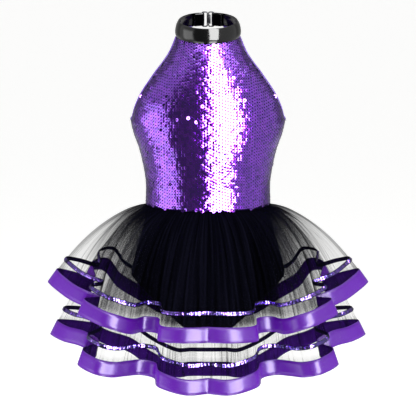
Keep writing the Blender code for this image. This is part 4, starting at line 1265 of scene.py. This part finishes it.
def makeCollar():
    path = np.array(collarPath())
    plan, bulge, height = path[:, :2], path[:, 2], path[:, 3]
    ahead = np.gradient(plan, axis=0)
    outward = unit(np.stack([ahead[:, 1], -ahead[:, 0]], axis=1))
    count = collar["sides"]
    turns = np.arange(count) / count * 2 * math.pi
    level = 0.5 * np.sign(np.sin(turns)) * np.abs(np.sin(turns)) ** collar["cornerUp"]
    side = np.sign(np.cos(turns)) * np.abs(np.cos(turns)) ** collar["cornerOut"]
    generator = np.random.default_rng(collar["seed"])
    run = runOf(np.column_stack([plan, plan[:, :1] * 0]))
    pulls = sum(share * softNoise(generator, number, run / run[-1]) for number, share in collar["pulls"])
    folds = softNoise(generator, collar["folds"], run / run[-1])
    grid = np.zeros((len(path), count, 3))
    for j in range(count):
        crown = 1 - abs(2 * level[j]) ** collar["crown"]
        outer = max(side[j], 0.0)
        out = collar["bulge"] * bulge * crown + side[j] * collar["cloth"] / 2
        # the band leans back, wider at its foot
        out -= collar["lean"] * level[j] * bulge
        # stitched edges pucker the face, and the inside shows two soft ridges along its length
        out += outer * collar["pucker"] * pulls * abs(2 * level[j]) ** 2 * bulge
        out += outer * collar["foldDepth"] * folds * crown
        ridge = -collar["ridge"] * math.cos(2 * math.pi * collar["ridges"] * level[j])
        out += min(side[j], 0.0) * ridge * bulge
        grid[:, j, :2] = plan + outward * out[:, None]
        grid[:, j, 2] = level[j] * height
    grid = tilted(grid)
    uv = np.stack(np.broadcast_arrays(run[:, None], (turns * 8)[None]), axis=-1).reshape(-1, 2)
    made = meshObject("collarBand", grid.reshape(-1, 3), tubeFaces(len(grid), count), [patent, knitBack], uv)
    faceOut(made)
    for face in made.data.polygons:  # the cut ends show the knit back
        face.material_index = int(len(face.vertices) > 4)
    finishPiece(made, "patent", "collar_band")
    print("collar")
    return made


def roundedLoop(width, height, radius, steps):
    points, normals = [], []
    for turn in range(4):
        cornerX = (width / 2 - radius) * (1 if turn in (0, 3) else -1)
        cornerZ = (height / 2 - radius) * (1 if turn in (0, 1) else -1)
        for step in range(steps + 1):
            angle = math.pi / 2 * (turn + step / steps)
            points.append((cornerX + radius * math.cos(angle), cornerZ + radius * math.sin(angle)))
            normals.append((math.cos(angle), math.sin(angle)))
    return np.array(points), np.array(normals)


def makeFrame(name, side):
    bar = clasp["bar"]
    line, away = roundedLoop(clasp["width"] - bar, clasp["height"] - bar, clasp["round"] - bar / 2,
                             clasp["cornerSteps"])
    centre = side * (clasp["width"] + gap) / 2
    path = np.column_stack([line[:, 0] + centre, np.full(len(line), clasp["face"] + bar / 2), line[:, 1]])
    outwards = np.column_stack([away[:, 0], np.zeros(len(away)), away[:, 1]])
    level = np.tile([0.0, 1.0, 0.0], (len(path), 1))
    profile = softRectangle(bar, bar, clasp["wireCorner"], clasp["wireSides"])
    return sweep(name, path, outwards, level, profile, [nickel], closed=True)


def makeTongue():
    # In plan: from its own frame over the other frame's bar, and back behind it.
    inner, outer = clasp["face"] - clasp["hookClear"], clasp["face"] + clasp["bar"] + clasp["hookClear"]
    middle, plate = clasp["face"] + clasp["bar"] / 2, clasp["hookPlate"]
    root, rootEnd, tip = -clasp["bar"], -clasp["bar"] / 3, clasp["bar"] + 2 * plate
    plan = [(root, middle), (rootEnd, middle), (rootEnd, outer), (tip - plate, outer), (tip - plate, inner),
            (clasp["hookClear"], inner), (clasp["hookClear"], inner - plate), (tip, inner - plate),
            (tip, outer + plate), (root, outer + plate)]
    points = [(x, y, z) for z in (-clasp["hookHeight"] / 2, clasp["hookHeight"] / 2) for x, y in plan]
    count = len(plan)
    faces = [list(range(count - 1, -1, -1)), list(range(count, 2 * count))]
    faces += [[i, (i + 1) % count, count + (i + 1) % count, count + i] for i in range(count)]
    made = meshObject("tongue", points, faces, [nickel])
    faceOut(made)
    edges = made.modifiers.new("rolled edges", "BEVEL")
    edges.width = clasp["bend"] * mm
    edges.segments = 3
    return made


def joinPieces(name, parts):
    # One plain mesh from several, in the first one's object.
    work = bmesh.new()
    for part in parts:
        work.from_mesh(part.data)
    work.to_mesh(parts[0].data)
    work.free()
    for part in parts[1:]:
        bpy.data.objects.remove(part)
    parts[0].name = parts[0].data.name = name
    return parts[0]


def tiltPiece(piece):
    points = np.array([vertex.co[:] for vertex in piece.data.vertices]) / mm
    piece.data.vertices.foreach_set("co", (tilted(points) * mm).astype(np.float32).ravel())
    piece.data.update()
    return piece


def makeClasp():
    loop = tiltPiece(makeFrame("claspLoop", 1))
    hook = joinPieces("claspHook", [makeFrame("claspHook", -1), bakeModifiers(makeTongue())])
    tiltPiece(hook)
    for piece, node in ((loop, "clasp_loop"), (hook, "clasp_hook")):
        piece.data.set_sharp_from_angle(angle=math.radians(50))
        finishPiece(piece, "steel", node)
    print("clasp")


collarPiece = makeCollar()
makeClasp()
